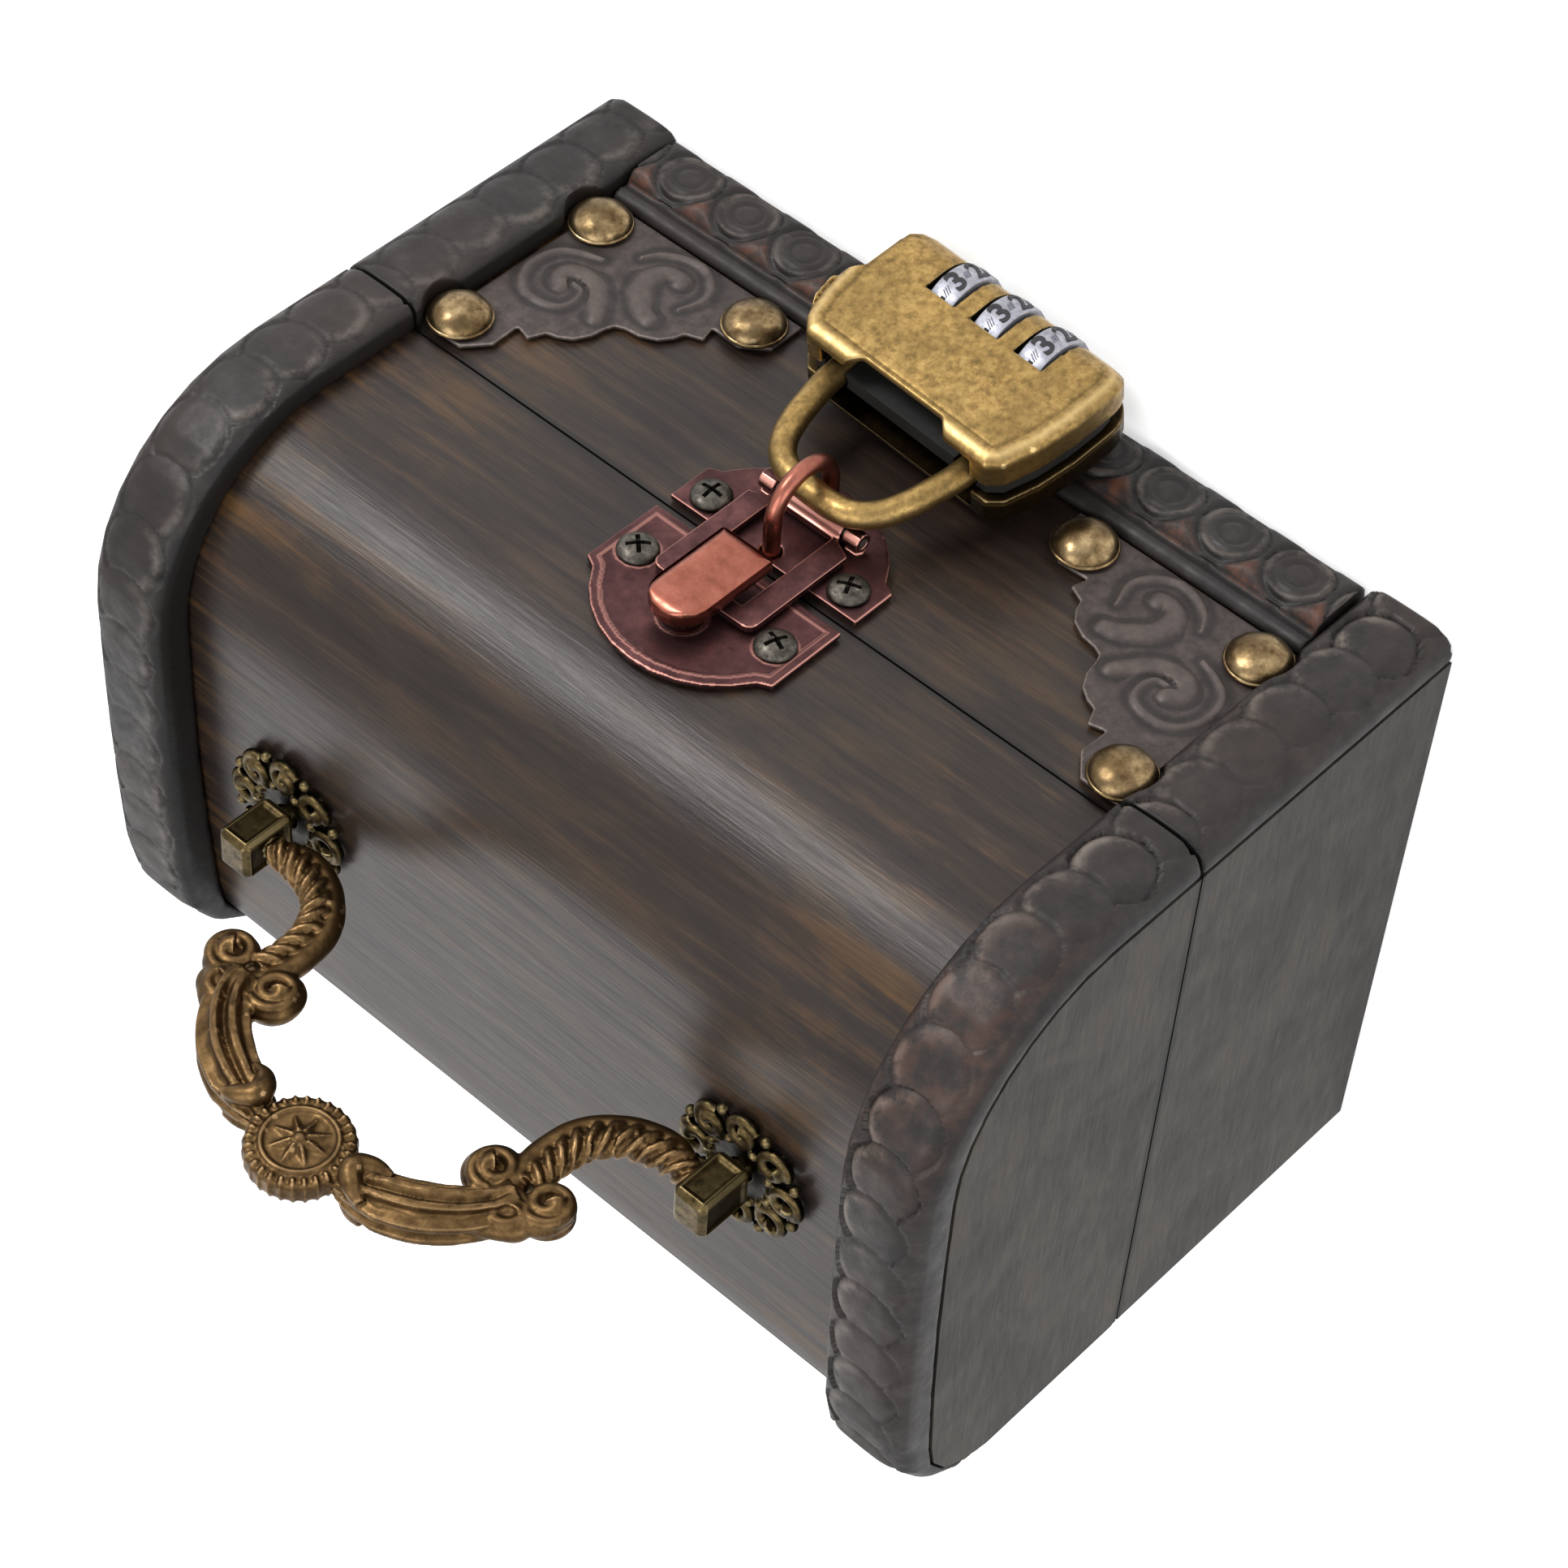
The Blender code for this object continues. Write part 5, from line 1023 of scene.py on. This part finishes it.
look = bailLook
arms = [carvedArm(look["rope"], look["radius"] * look["ropeShare"], ropeCarve),
        carvedArm(look["leaf"], look["radius"] * look["leafShare"], leafCarve)]
arms += [bailRod(route, radius) for radius, route in look["rods"]]
for middle, reach, start, sweep in look["curls"]:
    route = curlRoute(middle, reach, start, sweep, look)
    arms += [bailRod(route, look["curlRadius"], [face * look["curlProud"]] * len(route))
             for face in (-1, 1)]
    # the eye is filled between the faces
    arms.append(addStart(bpy.ops.mesh.primitive_uv_sphere_add, segments=16, ring_count=10,
                         radius=reach * look["eye"], location=bailPoint(*middle)))
for face in (-1, 1):
    swell = [face * (look["cuffProud"] + look["cuffSwell"] * step) for step in (0, 1, 2, 1, 0)]
    arms.append(bailRod(look["cuff"], look["cuffRadius"], swell))
arms.append(addStart(bpy.ops.mesh.primitive_cylinder_add, vertices=24, radius=look["pin"],
                     depth=look["pinLength"], location=(look["halfSpan"], 0, 0),
                     rotation=(0, quarterTurn, 0)))
arm = joinPieces(arms)
otherArm = copyPiece(arm, Matrix.Diagonal((-1, 1, 1, 1)))
inEditMode(otherArm, (bpy.ops.mesh.normals_make_consistent, {"inside": False}))

# The medallion: a rounded disc with ribs round its rim, and on each face a ring, a star of rays and a bead
medalLook = {"radius": 0.0068, "rise": 0.0278, "disc": 0.93, "thick": 0.0030, "edge": 0.0006, "ribs": 28,
             "rib": (0.00095, 0.0022, 0.00048), "ribAt": 0.83, "rays": 8, "ray": 0.00085,
             "rayLength": 0.0027, "rayAt": 0.0024, "ring": 0.0044, "ringWire": 0.00036, "bead": 0.0010,
             "starTurn": -11, "starProud": 0.0016}
look = medalLook
disc = addStart(bpy.ops.mesh.primitive_cylinder_add, vertices=64, radius=look["radius"] * look["disc"],
                depth=look["thick"], rotation=(quarterTurn, 0, 0))
softenEdges(disc, look["edge"], 3, 50)
rib = addStart(bpy.ops.mesh.primitive_uv_sphere_add, segments=10, ring_count=8, radius=1,
               scale=look["rib"], location=(look["radius"] * look["ribAt"], 0, 0))
ray = addStart(bpy.ops.mesh.primitive_cone_add, vertices=4, radius1=look["ray"], radius2=0.0,
               depth=look["rayLength"], rotation=(0, quarterTurn, 0), location=(look["rayAt"], 0, 0))
star = joinPieces(ringOf(ray, look["rays"], "Y") + [
    addStart(bpy.ops.mesh.primitive_torus_add, major_radius=look["ring"], minor_radius=look["ringWire"],
             major_segments=48, minor_segments=8, rotation=(quarterTurn, 0, 0)),
    addStart(bpy.ops.mesh.primitive_uv_sphere_add, segments=20, ring_count=12, radius=look["bead"])])
star.data.transform(Matrix.Rotation(math.radians(look["starTurn"]), 4, "Y"))
medallion = joinPieces([disc] + ringOf(rib, look["ribs"], "Y") + [
    copyPiece(star, Matrix.Translation((0, face * look["starProud"], 0))) for face in (-1, 1)])
bpy.data.objects.remove(star)
medallion.data.transform(Matrix.Translation((0, 0, look["rise"])))
bail = recast(joinPieces([arm, otherArm, medallion]), bailLook["grain"], 1)
bail.data.transform(Matrix.Translation((0, bailLook["y"], bailLook["z"])))
finishPiece(bail, "handle_bail_cast", "bail", bailBronze, ["handle_bail"], 60)

# Rosettes: openwork castings of curls and beads round the square posts, modelled once at the origin
rosetteLook = {
    "x": 0.0365, "y": 0.003, "baseZ": 0.0813, "thick": 0.0015, "grain": 0.00018, "petals": 8, "hub": 0.0050,
    "hubThick": 0.0010, "bore": 0.0017, "curl": 0.00068, "curlAt": 0.0066, "curlReach": 0.0022,
    "curlShrink": 0.62, "curlStart": -60, "curlSweep": 430, "curlZ": 0.00075, "curlRise": 0.0004,
    "bead": 0.00075, "beadAt": 0.0085, "beadTurn": 0.39, "innerBead": 0.00065, "innerBeadAt": 0.0046,
    "dirtBelow": 0.00105, "dirt": 0.95, "frame": 0.0008, "frameSlope": 0.0004, "foot": 0.0006,
    "panel": 0.00032, "panelDirt": 0.4}
look = rosetteLook
hub = addStart(bpy.ops.mesh.primitive_cylinder_add, vertices=36, radius=look["hub"], depth=look["hubThick"],
               location=(0, 0, look["hubThick"] / 2))
cutAway(hub, addStart(bpy.ops.mesh.primitive_cylinder_add, vertices=24, radius=look["bore"],
                      depth=look["hubThick"] * 4))
# each petal is a curl that starts at the hub and rolls in at the rim
petalRoute = []
for step in range(15):
    share = step / 14
    bend = math.radians(look["curlStart"] + look["curlSweep"] * share)
    reach = look["curlReach"] * (1 - look["curlShrink"] * share)
    petalRoute.append((look["curlAt"] + reach * math.cos(bend), reach * math.sin(bend),
                       look["curlZ"] + look["curlRise"] * share))
petal = curvePiece(petalRoute, look["curl"], [0.8] + [1.05] * 10 + [1.1, 1.2, 1.3, 1.5], resolution=4,
                   smoothSteps=4)
bead = addStart(bpy.ops.mesh.primitive_uv_sphere_add, segments=14, ring_count=10, radius=look["bead"],
                location=(look["beadAt"] * math.cos(look["beadTurn"]),
                          look["beadAt"] * math.sin(look["beadTurn"]), look["curlZ"]))
innerBead = addStart(bpy.ops.mesh.primitive_uv_sphere_add, segments=10, ring_count=8,
                     radius=look["innerBead"], location=(look["innerBeadAt"], 0, look["hubThick"]))
rosette = joinPieces([hub] + ringOf(petal, look["petals"], "Z") + ringOf(bead, look["petals"], "Z")
                     + ringOf(innerBead, 2 * look["petals"], "Z"))
recast(rosette, look["grain"], 1)


# the openwork's base, seen through the gaps between the curls, is painted near-black as shade
def rosetteShade(place, normal):
    return Vector(), rosetteLook["dirt"] if place.z < rosetteLook["dirtBelow"] else 0.0


def postSkin(low, high, look):
    # a sunk panel inside a raised frame on each side of the post
    def measure(place, normal):
        shoulderZ = look["baseZ"] + look["thick"]
        if max(abs(normal.x), abs(normal.y)) <= 0.8 or place.z <= shoulderZ:
            return Vector(), 0.0
        axis = 1 if abs(normal.x) > 0.8 else 0
        inside = min(place[axis] - low[axis], high[axis] - place[axis], place.z - shoulderZ - look["foot"],
                     high.z - place.z)
        panel = clamp((inside - look["frame"]) / look["frameSlope"])
        return -normal * look["panel"] * panel, look["panelDirt"] * panel
    return measure


dress(rosette, ("grime",), rosetteShade)
for side, word in ((-1, "left"), (1, "right")):
    ring = copyPiece(rosette, Matrix.Translation((side * look["x"], look["y"], look["baseZ"])))
    post = recast(copyOfNode("handle_post_" + word), look["grain"], 2)
    dress(post, ("grime",), postSkin(*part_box("handle_post_" + word), look))
    for piece, name, node in ((ring, "handle_rosette_openwork_", "handle_rosette_"),
                              (post, "handle_post_cast_", "handle_post_")):
        finishPiece(piece, name + word, "lid", rosetteBronze, [node + word], 60)
    paintNode("handle_nut_" + word, screwSteel)
bpy.data.objects.remove(rosette)

# Back hinges, pins and the padlock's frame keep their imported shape
for node in nodes:
    if node.startswith("hinge_") and "leaf" in node:
        paintNode(node, nailBrass)
    if node in ("hinge_pin_left", "hinge_pin_right", "hasp_pin", "dial_axle"):
        paintNode(node, screwSteel)
# the padlock's frame gets the near-black that stands for shade
paintNode("lock_core", lockShadeBlack)

# Floor, light and camera. Each lamp has its place, aim, size and power
print("stage")
stageLook = {
    "skyStrength": 0.4, "floorGlow": 0.55, "floorSize": 6, "floorZ": -0.0002, "paper": 0.9,
    "paperRoughness": 0.9, "paperShine": 0.1,
    "lamps": [("front softbox", (0.32, -0.62, 0.29), (0.0, -0.02, 0.06), 0.24, 3.2),
              ("overhead softbox", (-0.12, -0.15, 0.75), (0.0, 0.0, 0.05), 0.5, 2.2),
              ("left fill", (-0.6, -0.25, 0.3), (0.0, 0.0, 0.05), 0.4, 1.15),
              ("back softbox", (0.38, 0.62, 0.48), (0.0, 0.0, 0.07), 0.36, 0.6)],
    # the camera's lens and place, fitted to the photo's edges
    "lens": 99.31, "sensor": 36,
    "view": ((-0.73659, 0.53269, -0.41674, -0.21710), (-0.05394, -0.66047, -0.74891, -0.38448),
             (-0.67418, -0.52917, 0.51523, 0.30340), (0, 0, 0, 1))}


def chooseByRay(tree, lit, seen, end):
    # the camera, reflections and clear materials show what is seen, and lit is what lights the object
    rays = addNode(tree, "LightPath").outputs
    looks = rays["Is Camera Ray"]
    for ray in ("Is Glossy Ray", "Is Transmission Ray"):
        looks = addNode(tree, "Math", {"operation": "MAXIMUM"}, {0: looks, 1: rays[ray]})
    choice = addNode(tree, "MixShader", links={0: looks, 1: lit, 2: seen})
    tree.links.new(outlet(choice), tree.nodes[end].inputs["Surface"])


floor = addStart(bpy.ops.mesh.primitive_plane_add, size=stageLook["floorSize"],
                 location=(0, 0, stageLook["floorZ"]))
floor.name = "pale_floor"
floorPaint = bpy.data.materials.new("matt white paper sweep")
floorPaint.use_nodes = True
paper = floorPaint.node_tree.nodes["Principled BSDF"]
for name, value in (("Base Color", colourOf(stageLook["paper"])),
                    ("Roughness", stageLook["paperRoughness"]),
                    ("Specular IOR Level", stageLook["paperShine"])):
    paper.inputs[name].default_value = value
glow = addNode(floorPaint.node_tree, "Emission", {
    "Color": colourOf(1.0), "Strength": stageLook["floorGlow"]})
glowing = addNode(floorPaint.node_tree, "AddShader", links={0: paper, 1: glow})
chooseByRay(floorPaint.node_tree, paper, glowing, "Material Output")
floor.data.materials.append(floorPaint)

scene.world = bpy.data.worlds.new("studio")
scene.world.use_nodes = True
sky = scene.world.node_tree.nodes["Background"]
sky.inputs["Color"].default_value = colourOf(1.0)
sky.inputs["Strength"].default_value = stageLook["skyStrength"]
backdrop = addNode(scene.world.node_tree, "Background", {"Color": colourOf(1.0), "Strength": 1.0})
chooseByRay(scene.world.node_tree, sky, backdrop, "World Output")

for name, place, aim, size, power in stageLook["lamps"]:
    lamp = bpy.data.lights.new(name, "AREA")
    lamp.shape = "SQUARE"
    lamp.size = size
    lamp.energy = power
    holder = bpy.data.objects.new(name, lamp)
    holder.location = place
    holder.rotation_euler = (Vector(aim) - Vector(place)).to_track_quat("-Z", "Y").to_euler()
    scene.collection.objects.link(holder)

cameraData = bpy.data.cameras.new("photo view")
cameraData.lens = stageLook["lens"]
cameraData.sensor_width = stageLook["sensor"]
camera = bpy.data.objects.new("photo view", cameraData)
camera.matrix_world = Matrix(stageLook["view"])
scene.collection.objects.link(camera)
scene.camera = camera
scene.view_settings.view_transform = "Standard"

print("done")
